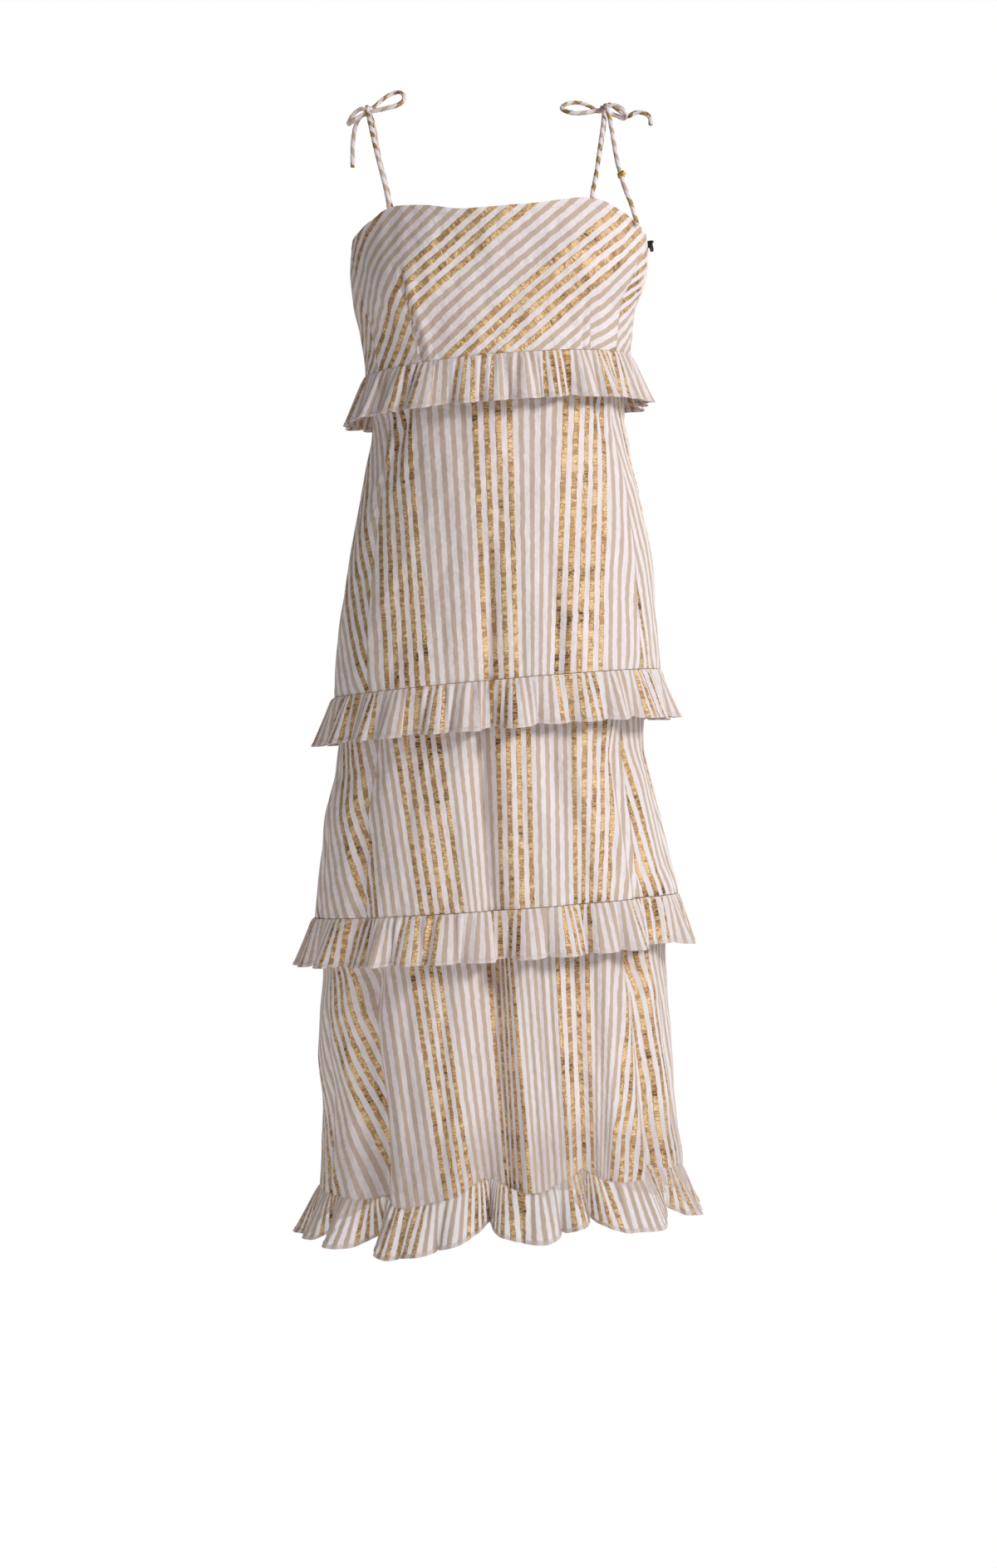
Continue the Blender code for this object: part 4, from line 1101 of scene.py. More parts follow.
@dataclass
class Skirt:
    """The three tiers of the skirt, front and back."""

    form: WornForm
    tiers: tuple[Tier, ...] = TIERS
    rows: int = 64
    front_columns: int = 153
    back_columns: int = 304
    faced: float = 39.0
    straighten: float = 28.0
    slant: float = 17.0
    slant_spread: float = 5.0
    pucker_reach: float = 0.012
    sheer_top: float = 0.99
    sheer_fade: float = 0.05
    sheer_share: float = 0.55

    def front_stripes(self, tier: Tier, azimuth: Array, points: Array, arc: Array) -> Array:
        """Place the front's stripes.

        Args:
            tier: the tier.
            azimuth: azimuths of its grid.
            points: points of its grid.
            arc: distances along its rows.

        Returns:
            The repeat's stripe number at each point, on the placed lines as far round as they face
            forwards and at the cloth's own pitch from there to the side seams.
        """
        drop = np.linspace(tier.top + SEAM_GAP, tier.low - SEAM_GAP, self.rows)
        seen = points[..., 0] * VIEW_DISTANCE / (VIEW_DISTANCE + points[..., 1])
        numbers, tops, lows = np.array(tier.lines).T
        part = (drop - tier.line_top) / (tier.line_low - tier.line_top)
        number = np.array([np.interp(row, MM * (tops + (lows - tops) * share), numbers)
                           for row, share in zip(seen, part)])
        for turn in (-1.0, 1.0):
            edge = self.faced * turn
            start = np.array([np.interp(edge, *pair) for pair in zip(azimuth, number)])
            beyond = arc - np.array([[np.interp(edge, *pair)] for pair in zip(azimuth, arc)])
            bend = (start - np.polyval(np.polyfit(drop - tier.top, start, 1), drop - tier.top))[:, None]
            away = (azimuth * turn - self.faced) / self.straighten
            outer = start[:, None] + beyond / PITCH - bend * smooth_step(away)
            number = np.where(away > 0.0, outer, number)
        return number

    def shell(self, tier: Tier, side: Side) -> ClothShell:
        """Front or back of one tier.

        Args:
            tier: the tier.
            side: front or back.

        Returns:
            Its shell, with upright stripes in front and slanted ones behind, steeper on the right.
        """
        columns = self.front_columns if side is Side.FRONT else self.back_columns
        share = np.linspace(0.0, 1.0, columns)[None, :]
        drop = np.linspace(tier.top + SEAM_GAP, tier.low - SEAM_GAP, self.rows)[:, None]
        azimuth = self.form.between(side, drop, share)
        drop = np.broadcast_to(drop, azimuth.shape)
        pucker = self.form.puckers(azimuth, tier.low - drop, self.pucker_reach)
        points = self.form.point(azimuth, drop, pucker)
        length = drop - tier.top
        fullness = tier.full_top + (tier.full_low - tier.full_top) * length / (tier.low - tier.top)
        arc = arc_lengths(points)
        cut = np.stack(((arc - 0.5 * arc[:, -1:]) * fullness, length), axis=-1)
        if side is Side.FRONT:
            number = self.front_stripes(tier, azimuth, points, arc)
            flat = np.stack(((number + STRIPE_START) * PITCH, length), axis=-1)
        else:
            away = 2.0 * share - 1.0
            lean = np.radians(self.slant + self.slant_spread * away)
            down = length - 0.5 * (tier.low - tier.top)
            excess = 0.5 * (arc[:, -1:] - arc[:, -1].mean()) * np.sign(away)
            even = arc - 0.5 * arc[:, -1:] - excess * smooth_step((np.abs(away) - 0.25) / 0.75)
            flat = np.stack((even * np.cos(lean) - down * np.sin(lean) + tier.back_phase,
                             even * np.sin(lean) + down * np.cos(lean)), axis=-1)
        sheer = self.sheer_share * smooth_step((drop - self.sheer_top) / self.sheer_fade)
        return ClothShell(f"tier_{tier.name}_{side.value}", points, cut, flat, np.full(azimuth.shape, CLOTH),
                          np.zeros(azimuth.shape), sheer)


@dataclass
class Bodice:
    """Front and back of the bodice, with its darts and clean top edge."""

    form: WornForm
    darts: tuple[Dart, ...] = DARTS
    rows: int = 84
    front_columns: int = 187
    back_columns: int = 268
    lean: float = 39.0
    phase: float = 0.0478
    back_phase: float = 0.031
    fold: float = 0.006
    fold_extra: float = 0.0004
    fold_edge: float = 0.0008
    pucker_reach: float = 0.010
    stitch_row: int = 4

    def dart_turn(self, cut: Array) -> Array:
        """Turn the cloth beside each dart, as closing the dart does.

        Args:
            cut: flat places of the front.

        Returns:
            The places in the uncut cloth.
        """
        turned = cut.copy()
        for dart in self.darts:
            tip = np.array((self.form.degree * dart.azimuth, dart.drop))
            foot = np.array((self.form.degree * dart.azimuth_foot, dart.drop_foot))
            line = math.atan2(foot[0] - tip[0], foot[1] - tip[1])
            offset = cut - tip
            bearing = np.arctan2(offset[..., 0], offset[..., 1]) - line
            bearing = dart.side * ((bearing + np.pi) % (2.0 * np.pi) - np.pi)
            share = np.where(bearing >= 0.0, 1.0 - smooth_step(bearing / np.pi), 0.0)
            angle = dart.side * math.radians(dart.angle) * share
            turned[..., 0] += offset[..., 0] * (np.cos(angle) - 1.0) + offset[..., 1] * np.sin(angle)
            turned[..., 1] += offset[..., 1] * (np.cos(angle) - 1.0) - offset[..., 0] * np.sin(angle)
        return turned

    def shell(self, side: Side) -> ClothShell:
        """Front or back of the bodice.

        Args:
            side: front or back.

        Returns:
            Its shell, with the stripes on the bias.
        """
        front = side is Side.FRONT
        columns = self.front_columns if front else self.back_columns
        share = np.broadcast_to(np.linspace(0.0, 1.0, columns)[None, :], (self.rows, columns))
        along = np.linspace(0.0, 1.0, self.rows)[:, None]
        low = BUST_SEAM - SEAM_GAP
        drop = np.broadcast_to(np.full((1, 1), low), share.shape)
        for _ in range(4):
            azimuth = self.form.between(side, drop, share)
            drop = self.form.top_edge(azimuth) * (1.0 - along) + low * along
        azimuth = self.form.between(side, drop, share)
        pucker = self.form.puckers(azimuth, low - drop, self.pucker_reach)
        points = self.form.point(azimuth, drop, pucker)
        arc = arc_lengths(points)
        middle = 0.5 * arc[:, -1:]
        if front:
            middle = np.array([[np.interp(0.0, *pair)] for pair in zip(azimuth, arc)])
        cut = np.stack((arc - middle, drop), axis=-1)
        source = self.dart_turn(cut) if front else cut
        lean = math.radians(self.lean)
        phase = self.phase if front else self.back_phase
        flat = np.stack((source[..., 0] * math.sin(lean) + source[..., 1] * math.cos(lean) + phase,
                         source[..., 1] * math.sin(lean) - source[..., 0] * math.cos(lean)), axis=-1)
        edge = drop - self.form.top_edge(azimuth)
        thickness = CLOTH + self.fold_extra * (1.0 - smooth_step((edge - self.fold) / self.fold_edge))
        plain = np.zeros(azimuth.shape)
        return ClothShell(f"bodice_cloth_{side.value}", points, cut, flat, thickness, plain, plain)


@dataclass
class Ruffles:
    """The four gathered strips, each with a narrow folded hem."""

    form: WornForm
    gathers: tuple[Gather, ...] = GATHERS
    rows: int = 22
    hem_rows: int = 4
    spread: float = 0.0036
    spread_slope: float = 0.055
    lap_reach: float = 1.7
    pucker_height: float = 0.0030
    ripple_height: float = 0.0005
    hem_extra: float = 1.1
    backed_sheer: float = 0.12
    front_columns: int = 273
    back_columns: int = 571

    def flutes(self, gather: Gather) -> list[Flute]:
        """Collect the ridges and valleys of a strip.

        Args:
            gather: the strip.

        Returns:
            Those of the front and of the back, in order of azimuth.
        """
        left, right = self.form.seams(Side.BACK, np.array(gather.seam))
        flutes = [Flute(*row) for row in FRONT_FLUTES[gather.name]]
        shift = 0.009 * math.sin(3.0 * gather.phase)
        for share, *rest in BACK_FLUTES:
            if 0.012 < share + shift < 0.988:
                azimuth = float(left + (right - left) * (share + shift * math.sin(math.pi * share)))
                flutes.append(Flute(azimuth, *rest))
        return sorted(flutes)

    def wave(self, gather: Gather, azimuth: Array) -> tuple[Array, Array, Array]:
        """The gathers round the dress.

        Args:
            gather: the strip.
            azimuth: azimuths along it.

        Returns:
            How far the lower edge stands out, how far it moves sideways, and the tight gathers
            under the seam.
        """
        flutes = self.flutes(gather)
        first = flutes[0].azimuth
        around = (azimuth - first) % 360.0
        places = [flute.azimuth - first for flute in flutes] + [360.0]
        table = SmoothTable(places, [flute.stand for flute in flutes] + [flutes[0].stand])
        stand = table(around) * MM
        step = 0.6
        rise = table((around + step) % 360.0) - table((around - step) % 360.0)
        slope = rise * MM / math.radians(2.0 * step)
        sway = -self.spread * np.tanh(slope / self.spread_slope)
        for flute in flutes:
            share = turn_between(azimuth, flute.azimuth) / self.lap_reach
            sway -= MM * flute.lap * 2.33 * share * np.exp(-share ** 2)
            stand -= MM * 0.55 * flute.lap * np.tanh(1.6 * share) * np.exp(-(0.5 * share) ** 2)
        turn = np.radians(azimuth)
        tight = np.sin(3.1 * gather.gathers * turn + 2.0 * np.sin(7.0 * turn + gather.phase))
        tight += 0.7 * np.sin(5.3 * gather.gathers * turn + 1.6 * np.sin(12.0 * turn + 2.0 * gather.phase))
        return stand, sway, tight * (0.6 + 0.4 * np.sin(5.0 * turn + gather.phase))

    def shell(self, gather: Gather, side: Side) -> ClothShell:
        """Front or back of one strip.

        Args:
            gather: the strip.
            side: front or back.

        Returns:
            Its shell, with upright stripes.
        """
        columns = self.front_columns if side is Side.FRONT else self.back_columns
        share_round = np.linspace(0.0, 1.0, columns)[None, :]
        fold_share = HEM_FOLD / RUFFLE_DEPTH
        body = np.linspace(0.0, 1.0 - fold_share, self.rows - self.hem_rows)
        share = np.concatenate((body, np.linspace(1.0 - 0.92 * fold_share, 1.0, self.hem_rows)))[:, None]
        azimuth = self.form.between(side, np.full((1, 1), gather.seam), share_round)
        edge, sway, tight = self.wave(gather, azimuth)
        turn = np.radians(azimuth)
        free = float(gather.name == "hem")
        swing = 1.85 * np.maximum(edge, 0.0) + (1.60 + 1.6 * free) * np.minimum(edge, 0.0)
        stand = gather.throw * share ** 0.85 + (1.0 + 0.25 * free) * swing * share ** 1.1
        pucker = self.pucker_height * (share * 4.0) ** 0.7 * np.exp(-4.2 * share)
        pucker = tight * (pucker + self.ripple_height * share)
        top = np.full((1, 1), gather.seam + gather.below - gather.tuck)
        base = self.form.point(azimuth, top, gather.base - 0.4 * gather.tuck, fine=False)
        outward = np.stack((np.sin(turn), -np.cos(turn), np.zeros_like(turn)), axis=-1)
        sideways = np.stack((np.cos(turn), np.sin(turn), np.zeros_like(turn)), axis=-1)
        sway = sway * share ** 0.7 * np.minimum(1.0, 60.0 * share_round * (1.0 - share_round))
        points = base + outward * (stand + pucker)[..., None] + sideways * sway[..., None]
        rise = (0.60 + 1.5 * free) * np.minimum(edge, 0.0) + 0.15 * np.maximum(edge, 0.0)
        points[..., 2] -= (RUFFLE_DEPTH * (1.0 - 0.05 * share - 0.06 * free) + gather.tuck + rise) * share
        along = np.broadcast_to(arc_lengths(points[-1:]), azimuth.repeat(self.rows, 0).shape)
        length = np.broadcast_to(share * RUFFLE_DEPTH, along.shape)
        cut = np.stack((along, length), axis=-1)
        flat = np.stack((along + gather.stripe_shift, length), axis=-1)
        hem = np.broadcast_to((share > 1.0 - fold_share + 1e-6).astype(float), along.shape)
        sheer = np.full(along.shape, 1.0 if free else self.backed_sheer)
        return ClothShell(f"ruffle_cloth_{gather.name}_{side.value}", points, cut, flat,
                          CLOTH * (1.0 + self.hem_extra * hem), hem, sheer)


def smooth_route(points: Sequence[Sequence[float]], spacing: float) -> Array:
    """Points at an even spacing on a smooth curve through a route.

    Args:
        points: the route's own points.
        spacing: distance between the new points.

    Returns:
        An array of points.
    """
    route = np.array([tuple(point) for point in points])
    ghosts = np.vstack((2.0 * route[0] - route[1], route, 2.0 * route[-1] - route[-2]))
    share = (np.arange(24) / 24.0)[:, None]
    fine = []
    for before, start, end, after in zip(ghosts, ghosts[1:], ghosts[2:], ghosts[3:]):
        fine.append(0.5 * (2.0 * start + (end - before) * share
                           + (2.0 * before - 5.0 * start + 4.0 * end - after) * share ** 2
                           + (3.0 * start - before - 3.0 * end + after) * share ** 3))
    line = np.vstack((*fine, route[-1]))
    lengths = path_lengths(line)
    goals = np.linspace(0.0, lengths[-1], max(4, round(lengths[-1] / spacing)) + 1)
    return np.stack([np.interp(goals, lengths, line[:, axis]) for axis in range(3)], axis=1)


@dataclass
class RouleauTube:
    """A narrow tube of turned cloth, its stripes winding round it."""

    name: str
    path: Array
    radius: float = TIE_RADIUS
    sides: int = 16
    offset: float = 0.0
    flatten: float = 0.0
    bias: float = 0.7071
    wobble: float = 0.045
    slow_wobble: float = 0.03
    tip: float = 0.25

    def frames(self) -> tuple[Array, Array, Array]:
        """Directions that turn as little as they can along the path.

        Returns:
            The tangent and two cross directions at each point.
        """
        tangent = np.gradient(self.path, axis=0)
        tangent /= np.linalg.norm(tangent, axis=1, keepdims=True)
        first = np.zeros_like(tangent)
        guess = np.array((0.0, 0.0, 1.0)) if abs(tangent[0, 2]) < 0.9 else np.array((1.0, 0.0, 0.0))
        current = np.cross(tangent[0], guess)
        for index, direction in enumerate(tangent):
            current = current - direction * np.dot(current, direction)
            current = current / np.linalg.norm(current)
            first[index] = current
        return tangent, first, np.cross(tangent, first)

    def build(self, material: Material) -> Piece:
        """Make the tube.

        Args:
            material: the tube's cloth.

        Returns:
            The tube as a closed mesh with flat cloth coordinates.
        """
        tangent, first, second = self.frames()
        lengths = path_lengths(self.path)
        angle = np.linspace(0.0, 2.0 * np.pi, self.sides + 1)
        at = lengths[:, None]
        wobble = 1.0 + self.wobble * np.sin(at * 900.0 + 2.0 * angle) + self.slow_wobble * np.sin(at * 410.0)
        out = np.cos(angle)[None, :, None] * first[:, None, :]
        out = out + (1.0 - self.flatten) * np.sin(angle)[None, :, None] * second[:, None, :]
        ring = self.path[:, None, :] + (self.radius * wobble)[..., None] * out
        shape = bmesh.new()
        layer = shape.loops.layers.uv.new("flat")
        verts = [[shape.verts.new(tuple(point)) for point in row[:-1]] for row in ring]
        for row in range(len(verts) - 1):
            for column in range(self.sides):
                places = ((row, column), (row, column + 1), (row + 1, column + 1), (row + 1, column))
                face = shape.faces.new([verts[start][step % self.sides] for start, step in places])
                for loop, (start, step) in zip(face.loops, places):
                    along, turn = lengths[start] + self.offset, angle[step] * self.radius
                    loop[layer].uv = ((along + turn) * self.bias, (along - turn) * self.bias)
        for row, way in ((0, -1), (-1, 1)):
            centre = shape.verts.new(tuple(self.path[row] + tangent[row] * (self.tip * self.radius * way)))
            for column in range(self.sides):
                face = shape.faces.new((centre, verts[row][column], verts[row][(column + 1) % self.sides]))
                for loop in face.loops:
                    loop[layer].uv = ((lengths[row] + self.offset) * self.bias, 0.0)
        bmesh.ops.recalc_face_normals(shape, faces=shape.faces[:])
        return place_object(self.name, mesh_of(self.name, shape, smooth=True), material)


@dataclass
class ShoulderTies:
    """Four straps, four loose ends and the two bows between them."""

    form: WornForm
    finishes: Finishes
    spacing: float = 0.0022
    stripe_step: float = 0.047
    knot_wrap: float = 0.0033
    wrap_turns: float = 1.35
    wrap_rise: float = 0.0038
    wrap_radius: float = 0.0021
    wrap_points: int = 54
    loop_flatten: float = 0.12

    def route(self, name: str) -> Array:
        """Lay out a strap or a loose end.

        Args:
            name: its solid.

        Returns:
            The line that it follows from its knot.
        """
        knot = KNOTS["left" if "left" in name else "right"]
        toward = (Vector(TIE_ROUTES[name][0]) - knot).normalized()
        stops = [tuple(knot + toward * (KNOT_RADIUS + SEAM_GAP)), *TIE_ROUTES[name]]
        if name in TIE_ROOTS:
            azimuth = TIE_ROOTS[name]
            root = self.form.point(azimuth, float(self.form.top_edge(azimuth)), fine=False)
            root = root + np.array((0.0, 0.0, ROOT_RAISE))
            stops += [tuple(root + np.array((0.0, 0.0, ROOT_LEAD))), tuple(root)]
        return smooth_route(stops, self.spacing)

    def build(self) -> None:
        for index, name in enumerate(TIE_ROUTES):
            path = self.route(name)
            label = name.replace("strap", "tie_strap").replace("tail", "tie_end")
            piece = RouleauTube(label, path, offset=self.stripe_step * index).build(self.finishes.tie)
            stand_in(piece, name)
            if name.startswith("tail"):
                on_it = [Charm(path).build(self.finishes.gold)] if name == "tail_right_front" else []
        self.bow("left", 0.35)
        self.bow("right", -0.30)

    def bow(self, side: str, tilt: float) -> None:
        """Make one bow: two loops and the knot wrapped round their feet.

        Args:
            side: the viewer's left or right.
            tilt: how far the knot's wraps lean.
        """
        tubes = []
        for index, route in enumerate(LOOP_ROUTES[side]):
            path = smooth_route(route, 0.6 * self.spacing)
            tubes.append(RouleauTube(f"bow_{side}_part_{index}", path, flatten=self.loop_flatten,
                                     offset=0.09 * index))
        turn = np.linspace(0.0, 2.0 * math.pi * self.wrap_turns, self.wrap_points)
        rise = (turn / turn[-1] - 0.5) * self.wrap_rise
        wraps = ((self.knot_wrap, 0.0, 0.0), (self.knot_wrap * 0.72, 1.1, 0.0008))
        for index, (reach, start, shift) in enumerate(wraps):
            high = reach * np.sin(turn + start)
            ring = np.stack((rise + tilt * high, reach * np.cos(turn + start), high + shift), axis=1)
            ring = ring + np.array(KNOTS[side])
            tubes.append(RouleauTube(f"bow_{side}_wrap_{index}", ring, radius=self.wrap_radius, offset=0.03))
        bow = join_pieces(f"bow_{side}_knotted", [tube.build(self.finishes.tie) for tube in tubes])
        stand_in(bow, f"bow_{side}")
        LOG.info("bow on the viewer's %s", side)


def join_pieces(name: str, parts: Sequence[Piece]) -> Piece:
    """Join several meshes of one material into one object at the origin.

    Args:
        name: name of the result.
        parts: the objects, which are removed.

    Returns:
        The joined object.
    """
    shape = bmesh.new()
    for part in parts:
        shape.from_mesh(part.data)
    piece = place_object(name, mesh_of(name, shape), parts[0].data.materials[0])
    for part in parts:
        bpy.data.objects.remove(part)
    return piece


@dataclass
class StitchRows:
    """Machine stitches along the folded hems and the top edge, made with Geometry Nodes."""

    thread: Material
    length: float = 0.0023
    pitch: float = 0.0033
    radius: float = 0.00022
    seed: int = 7

    def tree(self) -> Tree:
        """Node tree that lays stitches along a curve.

        Returns:
            The tree, with named inputs for its sizes and its thread.
        """
        wires, source, end = new_group(
            "stitch_row",
            sockets_of("Geometry", "Path") | sockets_of("Float", "Pitch", "Stitch Length", "Thread Radius")
            | sockets_of("Int", "Seed") | sockets_of("Material", "Thread"),
            sockets_of("Geometry", "Stitches"), "GeometryNodeTree")
        sample = wires.add("GeometryNodeResampleCurve", mode="LENGTH")
        wires.fill(sample, {"Curve": source["Path"], "Length": source["Pitch"]})
        radius = source["Thread Radius"]
        bead = wires.add("GeometryNodeMeshUVSphere", {"Segments": 6, "Rings": 4, "Radius": radius})
        ratio = wires.math("DIVIDE", wires.times(source["Stitch Length"], 0.5), radius)
        tangent = wires.add("GeometryNodeInputTangent")
        align = wires.add("FunctionNodeAlignEulerToVector", {"Vector": tangent.outputs[0]}, axis="Z")
        spread = wires.add("FunctionNodeRandomValue", data_type="FLOAT")
        wires.fill(spread, {2: 0.9, 3: 1.1, "Seed": source["Seed"]})
        place = wires.add("GeometryNodeInstanceOnPoints", {
            "Points": sample.outputs[0], "Instance": bead.outputs["Mesh"], "Rotation": align.outputs[0],
            "Scale": wires.point(1.0, 1.0, wires.times(ratio, spread.outputs[1]))})
        real = wires.add("GeometryNodeRealizeInstances", {0: place.outputs[0]})
        paint = wires.add("GeometryNodeSetMaterial", {"Geometry": real.outputs[0],
                                                      "Material": source["Thread"]})
        wires.fill(end, {0: paint.outputs[0]})
        return wires.tree

    def build(self, tree: Tree, name: str, paths: Sequence[Array]) -> None:
        """Lay stitches along paths, as one plain mesh.

        Args:
            tree: the stitch tree.
            name: name of the piece.
            paths: lines of points to sew along.
        """
        curve = bpy.data.curves.new(name + "_path", "CURVE")
        curve.dimensions = "3D"
        for path in paths:
            spline = curve.splines.new("POLY")
            spline.points.add(len(path) - 1)
            places = np.concatenate((path, np.ones((len(path), 1))), axis=1)
            spline.points.foreach_set("co", places.astype(np.float32).ravel())
        guide = place_object(name + "_path", curve)
        change = guide.modifiers.new("stitches", "NODES")
        change.node_group = tree
        values = {"Pitch": self.pitch, "Stitch Length": self.length, "Thread Radius": self.radius,
                  "Seed": self.seed, "Thread": self.thread}
        for item in tree.interface.items_tree:
            if item.name in values:
                change[item.identifier] = values[item.name]
        bpy.context.view_layer.update()
        graph = bpy.context.evaluated_depsgraph_get()
        mesh = bpy.data.meshes.new_from_object(guide.evaluated_get(graph))
        mesh.name = name
        bpy.data.objects.remove(guide)
        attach(place_object(name, mesh), BODY)
        LOG.info("%s: %d faces", name, len(mesh.polygons))


def round_solid(rings: Sequence[tuple[float, float]], sides: int) -> bmesh.types.BMesh:
    """A solid of revolution about Z.

    Args:
        rings: radius and height of each ring, all the way round the solid's outline.
        sides: number of sides.

    Returns:
        The shape.
    """
    shape = bmesh.new()
    turns = [math.tau * step / sides for step in range(sides)]
    loops = [[shape.verts.new((radius * math.cos(turn), radius * math.sin(turn), height)) for turn in turns]
             for radius, height in rings]
    for lower, upper in zip(loops, loops[1:] + loops[:1]):
        for step in range(sides):
            after = (step + 1) % sides
            shape.faces.new((lower[step], lower[after], upper[after], upper[step]))
    bmesh.ops.recalc_face_normals(shape, faces=shape.faces[:])
    return shape


@dataclass
class Charm:
    """Gold ring with a ball on the right front tie end."""

    path: Array
    ring_radius: float = 0.0036
    ring_height: float = 0.0046
    ball_radius: float = 0.0028
    bore: float = 0.00255
    lip: float = 0.0005
    waist: float = 0.96
    ball_side: Place = (0.45, -0.89, 0.0)

    def build(self, material: Material) -> Piece:
        """Make the charm.

        Args:
            material: polished gold.

        Returns:
            The ring and ball as one piece.
        """
        box_low, box_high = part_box("charm")
        away = np.linalg.norm(self.path - np.array((box_low + box_high) / 2.0), axis=1)
        index = max(2, min(len(self.path) - 3, int(np.argmin(away))))
        along = Vector(self.path[index + 2] - self.path[index - 2]).normalized()
        turn = along.to_track_quat("Z", "Y").to_matrix()
        frame = Matrix.Translation(Vector(self.path[index])) @ turn.to_4x4()
        half = 0.5 * self.ring_height
        foot = [(self.bore, self.lip - half), (self.bore + self.lip, -half),
                (self.ring_radius - self.lip, -half), (self.ring_radius, self.lip - half)]
        head = [(radius, -height) for radius, height in reversed(foot)]
        shape = round_solid([*foot, (self.ring_radius * self.waist, 0.0), *head], 40)
        shape.transform(frame)
        front = turn.transposed() @ Vector(self.ball_side)
        front.z = 0.0
        front.normalize()
        ball = frame @ Matrix.Translation(front * (self.ring_radius + 0.5 * self.ball_radius))
        bmesh.ops.create_uvsphere(shape, u_segments=28, v_segments=16, radius=self.ball_radius, matrix=ball)
        piece = place_object("gold_charm", mesh_of("gold_charm", shape, smooth=True), material)
        stand_in(piece, "charm")
        return piece


@dataclass
class ZipTrim:
    """Slider and teardrop pull of the concealed zip, dressed with glossy enamel."""

    material: Material
    softness: float = 0.00022

    def build(self) -> None:
        """Give the slider and the pull rounded copies of their solids."""
        for node, body in (("zip_slider", BODY), ("zip_pull", TAB_BODY)):
            name = node + "_enamelled"
            shape = bmesh.new()
            shape.from_mesh(bpy.data.objects[node].data)
            bmesh.ops.remove_doubles(shape, verts=shape.verts[:], dist=1e-6)
            bmesh.ops.dissolve_limit(shape, angle_limit=math.radians(1.0), verts=shape.verts[:],
                                     edges=shape.edges[:])
            piece = place_object(name, mesh_of(name, shape), self.material)
            soften = piece.modifiers.new("soft_edges", "BEVEL")
            soften.width = self.softness
            soften.segments = 2
            soften.limit_method = "ANGLE"
            soften.angle_limit = math.radians(40.0)
            stand_in(piece, node, body)
            LOG.info("%s", name)


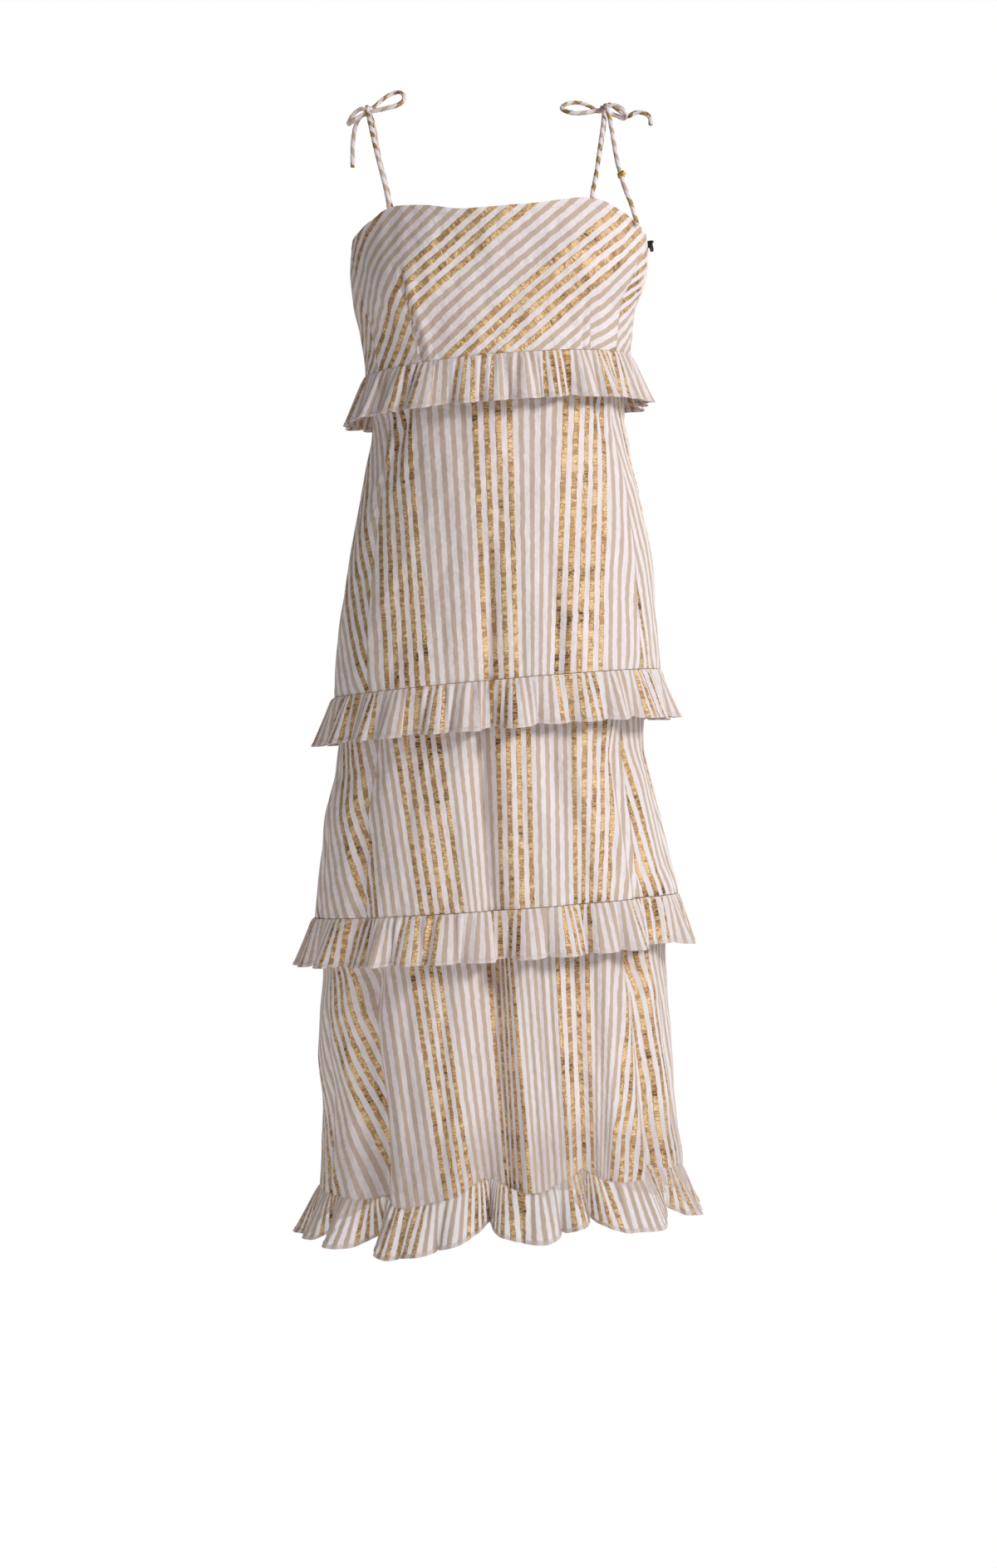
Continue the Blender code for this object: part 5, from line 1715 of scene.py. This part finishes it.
@dataclass
class Studio:
    """White surroundings, soft lights and the camera at the photograph's place."""

    camera_place: Place = (0.0, -3.0, -0.675)
    view_height: float = 1.58508
    floor_drop: float = 1.43
    floor_radius: float = 2.2
    floor_shade: tuple = (0.82, 0.82, 0.82, 1.0)
    aim: Place = (0.0, 0.0, -0.6)
    left_strength: float = 0.15
    right_strength: float = 0.64
    lamps: tuple[Lamp, ...] = LAMPS

    def camera(self) -> None:
        """Make the level camera."""
        data = bpy.data.cameras.new("studio_camera")
        data.sensor_width = 36.0
        data.lens = 0.5 * data.sensor_width / (0.5 * self.view_height / -self.camera_place[1])
        data.clip_end = 50.0
        camera = place_object("studio_camera", data)
        camera.location = self.camera_place
        camera.rotation_euler = (math.radians(90.0), 0.0, 0.0)
        bpy.context.scene.camera = camera

    def floor(self) -> None:
        """Lay a plain pale floor well below the hem, clear when seen from below."""
        shape = bmesh.new()
        bmesh.ops.create_circle(shape, cap_ends=True, segments=96, radius=self.floor_radius,
                                matrix=Matrix.Translation((0.0, 0.0, -self.floor_drop)))
        material, wires, _ = new_material("pale_floor")
        wires.tree.nodes.clear()
        matt = wires.add("ShaderNodeBsdfDiffuse", {"Color": self.floor_shade})
        seen = wires.join(wires.add("ShaderNodeLightPath").outputs["Is Camera Ray"], matt,
                          wires.add("ShaderNodeEmission"))
        both = wires.join(wires.add("ShaderNodeNewGeometry").outputs["Backfacing"], seen,
                          wires.add("ShaderNodeBsdfTransparent"))
        wires.add("ShaderNodeOutputMaterial", {0: both.outputs[0]})
        place_object("pale_floor", mesh_of("pale_floor", shape), material)

    def lights(self) -> None:
        """Aim a soft square light at the dress's middle from each lamp's place."""
        for lamp in self.lamps:
            data = bpy.data.lights.new(lamp.name, "AREA")
            data.size, data.energy, data.color = lamp.size, lamp.power, lamp.tint
            piece = place_object(lamp.name, data)
            piece.location = lamp.place
            aim = Vector(self.aim) - Vector(lamp.place)
            piece.rotation_euler = aim.to_track_quat("-Z", "Y").to_euler()

    def build(self) -> None:
        """Add the floor, the lights and the pale surroundings, darker on the viewer's left."""
        self.floor()
        self.lights()
        world = bpy.data.worlds.new("pale_surroundings")
        world.use_nodes = True
        wires = Wires(world.node_tree)
        wires.tree.nodes.clear()
        place = wires.add("ShaderNodeTexCoord").outputs["Generated"]
        across = wires.add("ShaderNodeSeparateXYZ", {0: place}).outputs[0]
        strength = wires.remap(across, -0.9, 0.7, self.left_strength, self.right_strength)
        lit = wires.add("ShaderNodeBackground", {"Color": (0.98, 0.98, 1.0, 1.0), "Strength": strength})
        seen = wires.add("ShaderNodeBackground", {"Color": (1.0, 1.0, 1.0, 1.0), "Strength": 1.0})
        both = wires.join(wires.add("ShaderNodeLightPath").outputs["Is Camera Ray"], lit, seen)
        wires.add("ShaderNodeOutputWorld", {0: both.outputs[0]})
        bpy.context.scene.world = world
        bpy.context.scene.view_settings.view_transform = "Standard"


@dataclass
class Dress:
    """The whole dress, piece by piece."""

    finishes: Finishes
    form: WornForm = field(default_factory=WornForm)

    def cloth_piece(self, shell: ClothShell, node: str) -> None:
        """Args:
            shell: the shell.
            node: the solid that it stands for.
        """
        piece = shell.build(self.finishes.cloth)
        stand_in(piece, node)

    def build(self) -> None:
        """Build the ties, bodice, skirt, ruffles, stitches and zip trim."""
        ShoulderTies(self.form, self.finishes).build()
        bodice, skirt, ruffles = Bodice(self.form), Skirt(self.form), Ruffles(self.form)
        sewing = StitchRows(self.finishes.thread)
        tree = sewing.tree()
        top_edge = []
        for side in Side:
            shell = bodice.shell(side)
            self.cloth_piece(shell, f"bodice_{side.value}")
            top_edge.append(shell.sewing_line(bodice.stitch_row))
        for tier in skirt.tiers:
            for side in Side:
                self.cloth_piece(skirt.shell(tier, side), f"skirt_{tier.name}_{side.value}")
        for gather in ruffles.gathers:
            hem = []
            for side in Side:
                shell = ruffles.shell(gather, side)
                self.cloth_piece(shell, f"ruffle_{gather.name}_{side.value}")
                hem.append(shell.sewing_line(ruffles.rows - ruffles.hem_rows))
            sewing.build(tree, f"hem_stitches_{gather.name}", hem)
        sewing.build(tree, "top_edge_stitches", top_edge)
        ZipTrim(self.finishes.enamel).build()


def main() -> None:
    """Load the frame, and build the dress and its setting."""
    logging.basicConfig(level=logging.INFO, format="%(name)s: %(message)s", force=True)
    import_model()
    studio = Studio()
    studio.camera()
    Dress(Finishes.build()).build()
    studio.build()


if __name__ == "__main__":
    main()
